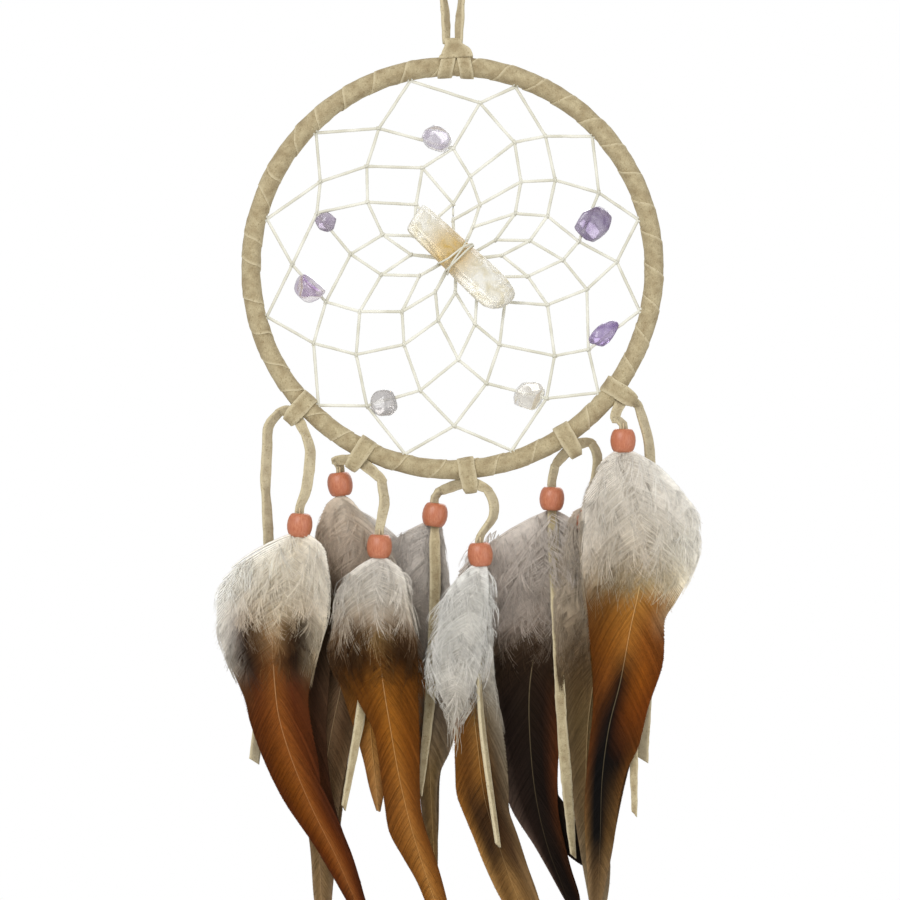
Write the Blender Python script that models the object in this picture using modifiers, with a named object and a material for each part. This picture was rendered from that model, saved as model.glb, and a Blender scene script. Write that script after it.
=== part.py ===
"""A dream catcher: a suede-wrapped steel hoop with a sinew web, threaded stone chips and a crystal point,
hung from a lace loop, with ten laces below it that carry painted wooden beads and bundles of feathers.

X is to the right, -Y towards the viewer and +Z up. The origin is the point it hangs from, at the top of
the inside of the lace loop. Sizes are millimetres, turned into metres where a mesh is made. Places on the
hoop, the web, the knots and the laces are (right, up) from the hoop's centre.
"""

import math

import bmesh
import bpy
from mathutils import Matrix, Vector

MM = 0.001
GAP = 0.35  # between pieces that touch on the real object

# the hoop
HOOP_DROP = 97.0  # from the hanging point down to the hoop's centre
HOOP_RADIUS = 62.4  # to the middle of the wire
WIRE_RADIUS = 1.5
WRAP_RADIUS = 2.65  # outside of the suede
HOOP_STEPS = 48
WIRE_STEPS = 8
WRAP_OUTER_STEPS, WRAP_INNER_STEPS = 10, 8
SLIT_DEG = 9.0  # half the open seam along the back of the wrap

# the web: one thread, tied to the hoop twelve times and then hitched to itself, row after row
THREAD = 0.7
HITCH_STEPS = 12
HITCH_CLEARANCE = 0.45  # between a hitch and the wrap
MITRE_LIMIT = 0.2  # keeps a very sharp corner of a cell from running away
TIE_DEG = [70.9, 43.3, 14.6, -12.9, -40.5, -72.0, -104.3, -134.3, -165.3, 165.2, 135.3, 102.7]
WEB_ROWS = [
    [(28.8, 40.8), (45.3, 23.3), (50.9, 1.9), (42.1, -25.2), (29.1, -40.4), (0.5, -48.9),
     (-26.5, -42.7), (-43.0, -23.3), (-49.6, 1.0), (-40.9, 26.7), (-22.8, 43.2), (8.5, 51.1)],
    [(31.8, 27.2), (39.1, 8.2), (41.6, -6.6), (31.6, -27.2), (10.5, -35.7), (-10.0, -37.9),
     (-29.8, -26.8), (-39.2, -10.5), (-42.0, 17.0), (-26.5, 31.5), (0.2, 37.0), (19.2, 38.9)],
    [(29.4, 16.1), (34.2, 2.5), (29.4, -11.4), (14.6, -23.7), (1.8, -28.3), (-15.0, -23.7),
     (-28.7, -13.5), (-31.5, 4.3), (-26.3, 20.4), (-9.3, 31.0), (5.5, 28.3), (21.2, 26.7)],
    [(24.0, 8.5), (23.3, -2.6), (16.3, -10.5), (7.0, -17.4), (-4.4, -16.1), (-15.6, -13.5),
     (-22.0, -2.1), (-21.6, 10.3), (-11.3, 19.6), (0.2, 19.9), (8.5, 19.6), (19.4, 16.9)],
    [(15.3, 3.9), (13.2, -2.8), (7.6, -7.1), (0.9, -7.6), (-5.3, -7.4), (-10.2, -2.4),
     (-12.8, 4.1), (-11.9, 9.9), (-6.3, 14.2), (0.2, 14.9), (6.3, 12.6), (13.4, 8.7)],
]
HUB = (0.8, 2.5)

# the crystal point, lying on the front of the web, and the thread that ties it there
CRYSTAL_START = (-11.6, 15.5)  # its flat upper end
CRYSTAL_DEG = -43.5  # how its length lies, from the right
CRYSTAL_DEPTH = 5.8  # from the web's plane forward to its axis
CRYSTAL_FLATNESS = 0.85
CRYSTAL_PROFILE = [(0.0, 4.6), (0.9, 5.1), (18.0, 5.4), (31.0, 5.9), (36.5, 5.1), (39.2, 3.0)]
TIE_ALONG = 17.9  # from the flat end to the tie
TIE_THREAD_RADIUS = 0.4
TIE_STEPS = 20
TIE_SQUARENESS = 0.5  # 1 would make the thread's loop an ellipse

# stone chips: the row and number of the hitch it sits by, those of the hitch its thread goes on to,
# how far along the thread and how far to its right, then its length, height and depth
CHIPS = [
    ((2, 10), (1, 10), 6.2, 1.6, (9.6, 7.2, 5.4)),
    ((2, 8), (3, 7), 4.0, -0.3, (5.6, 6.6, 4.6)),
    ((2, 7), (1, 8), 6.4, -1.0, (9.2, 7.6, 5.6)),
    ((1, 6), (2, 5), 5.4, 0.6, (8.0, 7.6, 5.2)),
    ((1, 4), (2, 4), 5.4, -0.5, (8.2, 10.0, 5.4)),
    ((2, 1), (1, 1), 6.9, 1.8, (10.6, 10.0, 6.4)),
    ((1, 3), (0, 3), 6.6, -0.9, (10.4, 5.6, 4.8)),
]
CHIP_BORE = 0.85
BORE_STEPS = 8
LUMP, LUMP_ALONG, LUMP_UP = 0.12, 3.1, 2.3  # how uneven a tumbled chip is, and its waves

# laces: flat suede, folded in two and knotted round the hoop, with both ends hanging
LACE_WIDTH = 4.0
LACE_THICK = 1.2
LACE_IN_BEAD = 3.2
LACE_STEP = 7.0
LACE_TIP = 0.9  # width of a cut lace at its very end
STRAP_WIDTH = 4.6
SHOULDER = 1.4  # thickness of the lace where it leaves the knot
SHOULDER_RISE = 2.4  # the shoulder's middle above the place where the lace bends
SHOULDER_RADIUS = 66.7
FRONT, BACK = -4.4, 4.4  # the two layers that the bundles hang in, before and behind the hoop
PIVOT_SHARE = 0.7  # how much of that depth the lace already has where it bends

# beads and quills
BEAD_PROFILE = [(2.35, 3.2), (2.9, 3.6), (3.5, 2.4), (3.8, 0.0), (3.5, -2.4), (2.9, -3.6), (2.35, -3.2)]
BEAD_STEPS = 12
QUILL_RADIUS = 0.35
QUILL_OFFSET = 1.45
QUILL_TOP = 5.0
BEAD_STRAIGHT = 5.4  # the lace runs straight this far above and below a bead's middle
SAME_HEIGHT = 0.2  # a lace's point counts as inside the bead this far past that stretch

KNOT_DEG = {1: -137.9, 2: -115.8, 3: -86.2, 4: -55.7, 5: -37.0}

# each lace: its knot, its layer's depth, its bead's number, then where it runs, from the bend at the top
LACES = {
    "lace_1_left": (1, 1.5, None, [
        (-53.5, -44.5), (-57.0, -49.0), (-57.5, -56.0), (-58.0, -66.5), (-57.5, -75.5), (-57.0, -87.5),
        (-57.0, -109.0), (-59.0, -130.5), (-61.5, -153.0)]),
    "lace_1_right": (1, FRONT, 1, [
        (-45.5, -51.0), (-44.0, -55.5), (-44.0, -60.0), (-45.0, -68.5), (-47.0, -74.0), (-47.0, -79.5),
        (-47.0, -85.0), (-48.0, -103.0), (-48.5, -121.5), (-47.0, -137.0)]),
    "lace_2_left": (2, BACK, 2, [
        (-36.5, -59.5), (-35.0, -61.6), (-35.0, -67.0), (-35.0, -72.5), (-33.0, -90.5), (-31.5, -115.0),
        (-34.0, -140.0), (-40.5, -161.5)]),
    "lace_2_right": (2, FRONT, 3, [
        (-22.0, -65.3), (-21.5, -68.5), (-21.0, -73.0), (-22.5, -80.5), (-22.5, -86.0), (-22.5, -91.5),
        (-23.5, -109.0), (-27.5, -133.5), (-33.5, -166.5)]),
    "lace_3_left": (3, BACK, 4, [
        (-3.5, -69.0), (-5.5, -71.1), (-5.5, -76.5), (-5.5, -82.0), (-5.5, -85.0), (-5.5, -103.0),
        (-7.0, -133.5), (-10.0, -163.0)]),
    "lace_3_right": (3, FRONT, 5, [
        (10.5, -68.3), (12.5, -72.0), (12.5, -77.0), (8.5, -83.1), (8.5, -88.5), (8.5, -94.0),
        (8.0, -115.0), (9.0, -140.0), (14.0, -178.0)]),
    "lace_4_left": (4, BACK, 6, [
        (32.0, -60.9), (31.0, -66.0), (31.0, -71.5), (31.0, -77.0), (31.2, -80.0), (31.5, -90.5),
        (32.5, -109.0), (34.0, -140.0), (36.0, -164.5), (37.5, -182.5)]),
    "lace_4_right": (4, BACK, 8, [
        (43.0, -54.0), (45.0, -58.0), (44.5, -65.5), (42.0, -73.1), (42.0, -78.5), (42.0, -84.0),
        (43.0, -109.0), (45.0, -133.5), (46.5, -155.5)]),
    "lace_5_left": (5, FRONT, 7, [
        (50.0, -46.5), (52.5, -48.4), (52.5, -53.5), (52.5, -59.0), (53.0, -78.0), (54.5, -109.0),
        (55.5, -140.0), (56.0, -168.5)]),
    "lace_5_right": (5, 1.5, None, [
        (57.5, -42.5), (59.5, -48.5), (61.0, -55.0), (61.5, -65.5), (62.0, -84.0), (62.0, -103.0),
        (60.5, -127.5), (59.0, -152.5)]),
}
BEADS = {
    1: (-47.0, -79.5), 2: (-35.0, -67.0), 3: (-22.5, -86.0), 4: (-5.5, -76.5),
    5: (8.5, -88.5), 6: (31.0, -71.5), 7: (52.5, -53.5), 8: (42.0, -78.5),
}

# each feather: its bead, how far its vane lies behind the bead's middle, its quill's offset to the right,
# then its outline as (drop below the bead's middle, left edge, right edge), both from the bead's middle
FEATHERS = {
    "feather_1_front": (1, -2.2, 0.0, [
        (8, -12, 7), (11, -19, 8), (17, -24, 9), (28, -26, 9), (42, -22, 8), (54, -17, 5), (70, -12, 6),
        (85, -3, 8), (100, 6, 15), (116, 15, 20), (128, 23, 24)]),
    "feather_1_back": (1, 2.2, 0.0, [
        (11, -6, 4), (39, -12, 6), (66, -10, 7), (85, -1, 10), (104, 8, 16), (117, 16, 17)]),
    "feather_2_front": (2, -2.2, 0.0, [
        (6, -2, 2), (14, -7, 11), (23, -8, 15), (42, -7, 15), (60, -9, 10), (79, -10, 4), (98, -10, 0),
        (128, -8, -2), (144, -5, -4)]),
    "feather_2_back": (2, 2.2, 0.0, [
        (17, -3, 3), (48, -12, 3), (73, -12, 2), (98, -9, 1), (122, -7, -2), (138, -5, -4)]),
    "feather_3_front": (3, -2.2, 0.0, [
        (6, -4, 5), (11, -11, 9), (23, -13, 10), (37, -14, 13), (54, -9, 12), (70, -4, 12), (81, 2, 13),
        (99, 9, 18), (110, 13, 22), (125, 22, 23)]),
    "feather_3_back": (3, 2.2, 0.0, [
        (14, -6, 6), (42, -13, 11), (60, -8, 10), (73, -4, 4), (83, -1, 0)]),
    "feather_4_front": (4, 0.6, 0.7, [
        (9, -6, 3), (14, -11, 3), (26, -12, 4), (45, -12, 5), (63, -9, 5), (79, -6, 2), (88, -5, 0),
        (107, -2, 1), (119, 0, 1)]),
    "feather_4_back": (4, 3.0, -0.7, [
        (6, -2, 0), (9, -2, 1), (26, -8, 3), (57, -7, 4), (82, -5, 1), (103, -3, 1), (113, -2, -1)]),
    "feather_5_front": (5, -2.2, 0.0, [
        (6, -3, 3), (11, -11, 3), (18, -13, 3), (27, -15, 3), (36, -17, 1), (45, -13, -1), (50, -8, -6)]),
    "feather_5_back": (5, 2.2, 0.0, [
        (14, -5, 2), (45, -8, 5), (64, -8, 8), (80, -5, 9), (93, 0, 14), (107, 7, 18), (126, 20, 21)]),
    "feather_6_front": (6, 0.6, 0.7, [
        (9, -8, 4), (12, -19, 5), (19, -26, 6), (31, -30, 6), (45, -28, 6), (60, -19, 4), (81, -15, 3),
        (99, -8, 2), (112, -2, 5), (124, 3, 8), (132, 7, 8)]),
    "feather_6_back": (6, 3.0, -0.7, [
        (6, -2, 0), (9, -2, 1), (19, -5, 4), (44, -12, 4), (68, -16, 2), (93, -11, 2), (109, -5, 3),
        (121, 2, 3)]),
    "feather_7_front": (7, -2.2, 0.0, [
        (5, -4, 4), (12, -9, 15), (22, -11, 23), (35, -12, 23), (43, -10, 20), (54, -10, 13), (68, -7, 12),
        (82, -7, 8), (95, -10, 5), (102, -10, 1), (118, -10, -2), (133, -9, -5), (150, -9, -8)]),
    "feather_7_back": (7, 2.2, 0.0, [
        (18, -5, 6), (49, -6, 10), (80, -7, 7), (105, -9, 0), (127, -9, -4), (142, -7, -6)]),
    "feather_8_front": (8, -2.2, 0.0, [
        (7, -2, 4), (15, -2, 11), (30, -3, 13), (49, -3, 12), (61, -2, 8), (74, -2, 6), (92, -2, 5),
        (105, -2, 7), (117, 0, 6), (129, 2, 3)]),
    "feather_8_back": (8, 2.2, 0.0, [
        (24, 1, 11), (55, -1, 8), (80, -1, 5), (102, -1, 4), (117, 1, 2)]),
}
ROOT_THICK, DOWN_THICK, BLADE_THICK = 1.2, 2.2, 0.9
QUILL_FOOT = 4.2  # the bare quill ends this far below the bead's middle
ROOT_TO = 9.0  # above this drop the down has only begun
BLADE_FROM = 60.0  # below this drop a feather is all firm blade
NARROW = 5.0  # a vane narrower than this is as thin as the blade
FRONT_TAIL = {"lace_4_left": -1.5, "lace_3_left": -1.5}  # laces whose tails hang before their feathers
TAIL_SHIFT = 3.0  # the height over which such a tail comes forward

# the hanging loop and its knot on top of the hoop
LOOP = [(-1.9, -27.7), (-2.1, -20.0), (-3.0, -10.0), (-2.6, -2.6), (0.0, 0.6), (2.6, -2.6), (3.0, -10.0),
        (2.3, -20.0), (1.9, -27.7)]
LOOP_TURN = (45.0, 135.0)
LOOP_STEP = 3.0
STRAP_STEPS = 16
HANGER_STRAPS = [(92.1, 4.3), (85.8, 4.1)]  # place round the hoop and width
HANGER_CLEARANCE = 0.7
NECK = [(-31.35, -4.2, 5.6), (-29.0, -3.4, 4.4), (-28.0, -2.3, 2.4)]  # height, left and right
NECK_DEPTH = 1.5


def linear(code):
    """A colour written as six hex digits, as Blender's linear red, green, blue and alpha."""
    parts = [int(code[i:i + 2], 16) / 255 for i in (0, 2, 4)]
    return (*(p / 12.92 if p <= 0.04045 else ((p + 0.055) / 1.055) ** 2.4 for p in parts), 1.0)


def material(name, code, roughness, metallic=0.0):
    found = bpy.data.materials.new(name)
    found.use_nodes = True
    shader = found.node_tree.nodes["Principled BSDF"]
    shader.inputs["Base Color"].default_value = linear(code)
    shader.inputs["Roughness"].default_value = roughness
    shader.inputs["Metallic"].default_value = metallic
    return found


def new_collection(name):
    made = bpy.data.collections.new(name)
    bpy.context.scene.collection.children.link(made)
    return made


def place(name, data, finish, home):
    """A new object of a mesh or a curve, with its material, in a collection."""
    piece = bpy.data.objects.new(name, data)
    if finish and not data.materials:
        data.materials.append(finish)
    home.objects.link(piece)
    return piece


def loft(name, sections, closed=False):
    """A closed mesh through sections that each have the same number of points, in millimetres."""
    shape = bmesh.new()
    loops = [[shape.verts.new(Vector(p) * MM) for p in section] for section in sections]
    pairs = list(zip(loops, loops[1:]))
    if closed:
        pairs.append((loops[-1], loops[0]))
    for low, high in pairs:
        count = len(low)
        for i in range(count):
            shape.faces.new((low[i], low[(i + 1) % count], high[(i + 1) % count], high[i]))
    if not closed:
        shape.faces.new(loops[0])
        shape.faces.new(loops[-1])
    bmesh.ops.recalc_face_normals(shape, faces=shape.faces)
    mesh = bpy.data.meshes.new(name)
    shape.to_mesh(mesh)
    shape.free()
    return mesh


def smooth(points, step):
    """Points about a step apart on the smooth curve through the given ones, of any number of values each."""
    ends = [points[0], *points, points[-1]]
    found = []
    for i in range(len(points) - 1):
        a, b, c, d = (Vector(p) for p in ends[i:i + 4])
        count = max(1, round((c - b).length / step))
        for k in range(count):
            t = k / count
            found.append(0.5 * (2 * b + (c - a) * t + (2 * a - 5 * b + 4 * c - d) * t * t
                                + (3 * b - a - 3 * c + d) * t ** 3))
    return [*found, Vector(points[-1])]


def strip_sections(line, widths, thick, turns):
    """Rectangles across a flat lace. A turn of 0 lays its width along X, and 90 lays it along Y."""
    sections = []
    for i, here in enumerate(line):
        along = (line[min(i + 1, len(line) - 1)] - line[max(i - 1, 0)]).normalized()
        turn = math.radians(turns[i])
        across = Vector((math.cos(turn), math.sin(turn), 0.0))
        across = (across - across.dot(along) * along).normalized() * widths[i] / 2
        out = along.cross(across).normalized() * thick / 2
        sections.append([here - across - out, here + across - out, here + across + out, here - across + out])
    return sections


def on_hoop(degrees, radius, depth=0.0):
    """A point at an angle round the hoop, at a distance from its centre."""
    turn = math.radians(degrees)
    return Vector((radius * math.cos(turn), depth, radius * math.sin(turn) - HOOP_DROP))


def from_centre(place_2d, depth=0.0):
    return Vector((place_2d[0], depth, place_2d[1] - HOOP_DROP))


def band(name, degrees, inner, outer, width, steps):
    """A flat band round the hoop's tube, at an angle round the hoop."""
    turn = math.radians(degrees)
    away = Vector((math.cos(turn), 0.0, math.sin(turn)))
    side = Vector((-math.sin(turn), 0.0, math.cos(turn))) * width / 2
    middle = on_hoop(degrees, HOOP_RADIUS)
    sections = []
    for k in range(steps):
        a = 2 * math.pi * k / steps
        ray = away * math.cos(a) + Vector((0.0, math.sin(a), 0.0))
        sections.append([middle + ray * inner - side, middle + ray * outer - side,
                         middle + ray * outer + side, middle + ray * inner + side])
    return loft(name, sections, closed=True)


def joined(name, meshes):
    """One mesh that holds several, still as separate bodies."""
    shape = bmesh.new()
    for mesh in meshes:
        shape.from_mesh(mesh)
    whole = bpy.data.meshes.new(name)
    shape.to_mesh(whole)
    shape.free()
    return whole


def add_tool(piece, mesh, operation):
    """A Boolean on a piece, with its tool kept as a hidden wire shape."""
    tool = place(f"{piece.name}_{operation.lower()}", mesh, None, CUTTERS)
    tool.hide_render = True
    tool.display_type = "WIRE"
    step = piece.modifiers.new(operation.lower(), "BOOLEAN")
    step.operation = operation
    step.object = tool
    step.solver = "EXACT"


def turned(name, profile, axis, steps):
    """A mesh of a closed profile, and the Screw that turns it."""
    shape = bmesh.new()
    corners = [shape.verts.new(Vector(p) * MM) for p in profile]
    for a, b in zip(corners, corners[1:] + corners[:1]):
        shape.edges.new((a, b))
    mesh = bpy.data.meshes.new(name)
    shape.to_mesh(mesh)
    shape.free()

    def spin(piece):
        step = piece.modifiers.new("turn", "SCREW")
        step.axis = axis
        step.steps = steps
        step.render_steps = steps
        step.use_merge_vertices = True
        step.merge_threshold = 0.00001
        step.use_normal_calculate = True

    return mesh, spin


def make_hoop():
    """The steel ring, and the suede that is wound round it, open along a seam at the back."""
    bpy.ops.mesh.primitive_torus_add(
        location=(0, 0, -HOOP_DROP * MM), rotation=(math.radians(90), 0, 0), major_radius=HOOP_RADIUS * MM,
        minor_radius=WIRE_RADIUS * MM, major_segments=HOOP_STEPS, minor_segments=WIRE_STEPS)
    ring = bpy.context.object
    ring.name = "hoop_ring"
    ring.data.materials.append(STEEL)
    for home in list(ring.users_collection):
        home.objects.unlink(ring)
    PARTS.objects.link(ring)
    ring.data.shade_smooth()

    turns = [90 + SLIT_DEG + (360 - 2 * SLIT_DEG) * k / WRAP_OUTER_STEPS for k in range(WRAP_OUTER_STEPS + 1)]
    turns_in = [90 + 2 * SLIT_DEG + (360 - 4 * SLIT_DEG) * k / WRAP_INNER_STEPS
                for k in range(WRAP_INNER_STEPS + 1)]
    outside = [(WRAP_RADIUS, t) for t in turns]
    inside = [(WIRE_RADIUS + GAP, t) for t in reversed(turns_in)]
    profile = [(HOOP_RADIUS + r * math.cos(math.radians(t)), r * math.sin(math.radians(t)), 0.0)
               for r, t in outside + inside]
    mesh, spin = turned("hoop_wrap", profile, "Y", HOOP_STEPS)
    wrap = place("hoop_wrap", mesh, SUEDE, PARTS)
    wrap.location.z = -HOOP_DROP * MM
    spin(wrap)


def inset(corners, distance):
    """A polygon whose sides are moved to their left by a distance."""
    found = []
    for i, here in enumerate(corners):
        before, after = corners[i - 1], corners[(i + 1) % len(corners)]
        came, goes = (here - before).normalized(), (after - here).normalized()
        left_came, left_goes = Vector((-came.y, came.x)), Vector((-goes.y, goes.x))
        middle = (left_came + left_goes).normalized()
        found.append(here + middle * distance / max(middle.dot(left_came), MITRE_LIMIT))
    return found


def web_nodes():
    """The web's hitches: row 0 on the hoop, then the rows towards the hub, each between two of the last."""
    ties = [(HOOP_RADIUS - WRAP_RADIUS - GAP - THREAD / 2) * Vector((math.cos(a), math.sin(a)))
            for a in map(math.radians, TIE_DEG)]
    return [ties] + [[Vector(p) for p in row] for row in WEB_ROWS]


def make_web():
    """The web as one flat net: a hole for each cell, and a hitch round the hoop at each tie."""
    nodes = web_nodes()
    count = len(TIE_DEG)
    rim = [p for k in range(count) for p in (nodes[0][k], nodes[1][k])]
    outlines = [inset(rim, THREAD / 2)]
    for row in range(1, len(nodes)):
        for k in range(count):
            after = (k + 1) % count
            low = Vector(HUB) if row == len(nodes) - 1 else nodes[row + 1][k]
            cell = [nodes[row - 1][after], nodes[row][after], low, nodes[row][k]]
            outlines.append(inset(cell, -THREAD / 2))
    drawing = bpy.data.curves.new("web_drawing", "CURVE")
    drawing.dimensions = "2D"
    drawing.fill_mode = "BOTH"
    drawing.extrude = THREAD / 2 * MM
    drawing.resolution_u = 1
    drawing.render_resolution_u = 0
    for outline in outlines:
        spline = drawing.splines.new("POLY")
        spline.points.add(len(outline) - 1)
        spline.use_cyclic_u = True
        for point, corner in zip(spline.points, outline):
            point.co = (corner.x * MM, corner.y * MM, 0, 1)
    flat = bpy.data.objects.new("web_flat", drawing)
    PARTS.objects.link(flat)
    upright = Matrix.Rotation(math.radians(90), 4, "X")
    flat.matrix_world = Matrix.Translation((0, 0, -HOOP_DROP * MM)) @ upright
    bpy.context.view_layer.update()
    mesh = bpy.data.meshes.new_from_object(flat.evaluated_get(bpy.context.evaluated_depsgraph_get()))
    shape = bmesh.new()
    shape.from_mesh(mesh)
    bmesh.ops.remove_doubles(shape, verts=shape.verts, dist=0.000001)
    shape.to_mesh(mesh)
    shape.free()
    web = place("sinew_web", mesh, SINEW, PARTS)
    web.matrix_world = flat.matrix_world.copy()
    bpy.data.objects.remove(flat)
    inner = WRAP_RADIUS + HITCH_CLEARANCE
    hitches = [band("hitch", a, inner, inner + THREAD, THREAD, HITCH_STEPS) for a in TIE_DEG]
    add_tool(web, joined("hitches", hitches), "UNION")


def crystal_frame():
    """The crystal's start, the direction of its length and the direction across it, in the web's plane."""
    turn = math.radians(CRYSTAL_DEG)
    along = Vector((math.cos(turn), 0.0, math.sin(turn)))
    across = Vector((-math.sin(turn), 0.0, math.cos(turn)))
    return from_centre(CRYSTAL_START, -CRYSTAL_DEPTH), along, across


def make_crystal():
    """A six-sided crystal point, and the thread that goes round it and through the web beside the hub."""
    start, along, across = crystal_frame()
    toward = Vector((0.0, 1.0, 0.0))
    sections = []
    for distance, radius in CRYSTAL_PROFILE:
        sections.append([
            start + along * distance + across * radius * math.cos(math.radians(60 * k))
            + toward * radius * CRYSTAL_FLATNESS * math.sin(math.radians(60 * k)) for k in range(6)])
    place("crystal_point", loft("crystal_point", sections), CRYSTAL, PARTS)

    front = -CRYSTAL_DEPTH - CRYSTAL_PROFILE[2][1] * CRYSTAL_FLATNESS - GAP - TIE_THREAD_RADIUS
    back = THREAD / 2 + GAP + TIE_THREAD_RADIUS
    half_width = CRYSTAL_PROFILE[2][1] + 2 * GAP + TIE_THREAD_RADIUS
    middle = start + along * TIE_ALONG
    thread = bpy.data.curves.new("crystal_tie", "CURVE")
    thread.dimensions = "3D"
    thread.bevel_depth = TIE_THREAD_RADIUS * MM
    thread.bevel_resolution = 1
    thread.render_resolution_u = 0
    spline = thread.splines.new("POLY")
    spline.points.add(TIE_STEPS - 1)
    spline.use_cyclic_u = True
    for k, point in enumerate(spline.points):
        a = 2 * math.pi * k / TIE_STEPS
        wide = half_width * math.copysign(abs(math.cos(a)) ** TIE_SQUARENESS, math.cos(a))
        deep = (back - front) / 2 * math.copysign(abs(math.sin(a)) ** TIE_SQUARENESS, math.sin(a))
        here = Vector((middle.x, (front + back) / 2 + deep, middle.z)) + across * wide
        point.co = (*(here * MM), 1)
    place("crystal_tie", thread, SINEW, PARTS)


def make_chips():
    """Tumbled chips, each drilled along its own stretch of the web's thread."""
    nodes = web_nodes()
    for number, (start, end, along, right, size) in enumerate(CHIPS, 1):
        here, there = nodes[start[0]][start[1]], nodes[end[0]][end[1]]
        run = (there - here).normalized()
        across = Vector((run.y, -run.x))
        hole = here + run * along
        centre = hole + across * right
        turn = Matrix(((run.x, 0, across.x), (0, 1, 0), (run.y, 0, across.y)))
        if turn.determinant() < 0:
            turn = Matrix(((run.x, 0, -across.x), (0, 1, 0), (run.y, 0, -across.y)))
        shape = bmesh.new()
        bmesh.ops.create_icosphere(shape, subdivisions=2, radius=1.0)
        for vert in shape.verts:
            x, y, z = vert.co
            lump = 1 + LUMP * math.sin(LUMP_ALONG * x + number) * math.cos(LUMP_UP * z - number)
            local = Vector((x * size[0] / 2, y * size[2] / 2, z * size[1] / 2)) * lump
            vert.co = (turn @ local + from_centre(centre)) * MM
        mesh = bpy.data.meshes.new(f"chip_{number}")
        shape.to_mesh(mesh)
        shape.free()
        chip = place(f"stone_chip_{number}", mesh, AMETHYST, PARTS)
        drill = bmesh.new()
        bmesh.ops.create_cone(
            drill, cap_ends=True, segments=BORE_STEPS, radius1=CHIP_BORE * MM, radius2=CHIP_BORE * MM,
            depth=2 * size[0] * MM,
            matrix=Matrix.Translation(from_centre(hole) * MM)
            @ Vector((run.x, 0, run.y)).to_track_quat("Z", "Y").to_matrix().to_4x4())
        cutter = bpy.data.meshes.new("drill")
        drill.to_mesh(cutter)
        drill.free()
        add_tool(chip, cutter, "DIFFERENCE")


def bend_point(name):
    """Where a lace bends below its knot."""
    _, depth, _, route = LACES[name]
    return from_centre(route[0], depth * PIVOT_SHARE)


def make_knots():
    """Each lace's knot: a band over the hoop, and the two shoulders that its ends hang from."""
    for number, degrees in KNOT_DEG.items():
        inner = WRAP_RADIUS + GAP
        strap = band(f"knot_{number}", degrees, inner, inner + LACE_THICK, STRAP_WIDTH, HITCH_STEPS)
        knot = place(f"knot_{number}", strap, SUEDE, PARTS)
        rise = Vector((0.0, 0.0, SHOULDER_RISE))
        line = [bend_point(f"lace_{number}_left") + rise, on_hoop(degrees, SHOULDER_RADIUS),
                bend_point(f"lace_{number}_right") + rise]
        out = (line[1] - from_centre((0.0, 0.0))).normalized() * SHOULDER / 2
        deep = Vector((0.0, SHOULDER / 2, 0.0))
        sections = [[p - out - deep, p + out - deep, p + out + deep, p - out + deep] for p in line]
        add_tool(knot, loft("shoulders", sections), "UNION")


def lace_line(name):
    """The points down a lace's middle, its widths, and how far it is from its bend."""
    _, depth, bead, route = LACES[name]
    top = depth * PIVOT_SHARE
    straight = BEADS[bead][1] + BEAD_STRAIGHT if bead else route[2][1]
    points = []
    for x, z in route:
        share = min(1.0, (route[0][1] - z) / (route[0][1] - straight))
        tail = 0.0
        if bead and name in FRONT_TAIL:
            below = BEADS[bead][1] - BEAD_STRAIGHT - z
            tail = FRONT_TAIL[name] * min(1.0, max(0.0, below / TAIL_SHIFT))
        width = LACE_WIDTH
        if bead and abs(z - BEADS[bead][1]) <= BEAD_STRAIGHT + SAME_HEIGHT:
            width = LACE_IN_BEAD
        points.append((x, top + (depth - top) * share + tail, z, width))
    if bead:
        points[-1] = (*points[-1][:3], LACE_TIP)
    return [(from_centre((x, z), y), width) for x, y, z, width in smooth(points, LACE_STEP)]


def make_laces():
    for name in LACES:
        line = lace_line(name)
        sections = strip_sections([p for p, _ in line], [w for _, w in line], LACE_THICK, [0.0] * len(line))
        place(name, loft(name, sections), SUEDE, PARTS)


def make_beads():
    mesh, spin = turned("bead", [(x, 0.0, z) for x, z in BEAD_PROFILE], "Z", BEAD_STEPS)
    depths = {bead: depth for _, depth, bead, _ in LACES.values() if bead}
    for number, middle in BEADS.items():
        bead = place(f"bead_{number}", mesh, PAINTED_WOOD, PARTS)
        bead.location = from_centre(middle, depths[number]) * MM
        spin(bead)


def lens(left, right, height, depth, thick):
    """Six points across a feather: thin at both edges and full in the middle."""
    wide = right - left
    return [(left, depth, height), (left + wide / 4, depth - thick / 2, height),
            (right - wide / 4, depth - thick / 2, height), (right, depth, height),
            (right - wide / 4, depth + thick / 2, height), (left + wide / 4, depth + thick / 2, height)]


def make_feathers():
    """Each feather as one solid: a quill that comes up through the bead, a downy base and a firm blade."""
    depths = {bead: depth for _, depth, bead, _ in LACES.values() if bead}
    for name, (bead, behind, aside, outline) in FEATHERS.items():
        middle = from_centre(BEADS[bead], depths[bead])
        quill_depth = middle.y + math.copysign(QUILL_OFFSET, behind)
        quill_x = middle.x + aside
        sections = [lens(quill_x - QUILL_RADIUS, quill_x + QUILL_RADIUS, middle.z - drop, quill_depth,
                         2 * QUILL_RADIUS) for drop in (-QUILL_TOP, QUILL_FOOT)]
        for drop, left, right in outline:
            thick = DOWN_THICK if drop <= BLADE_FROM else BLADE_THICK
            if drop < ROOT_TO:
                thick = ROOT_THICK
            if right - left < NARROW:
                thick = BLADE_THICK
            sections.append(lens(middle.x + left, middle.x + right, middle.z - drop, middle.y + behind,
                                 thick))
        place(name, loft(name, sections), FEATHER, PARTS)


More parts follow.
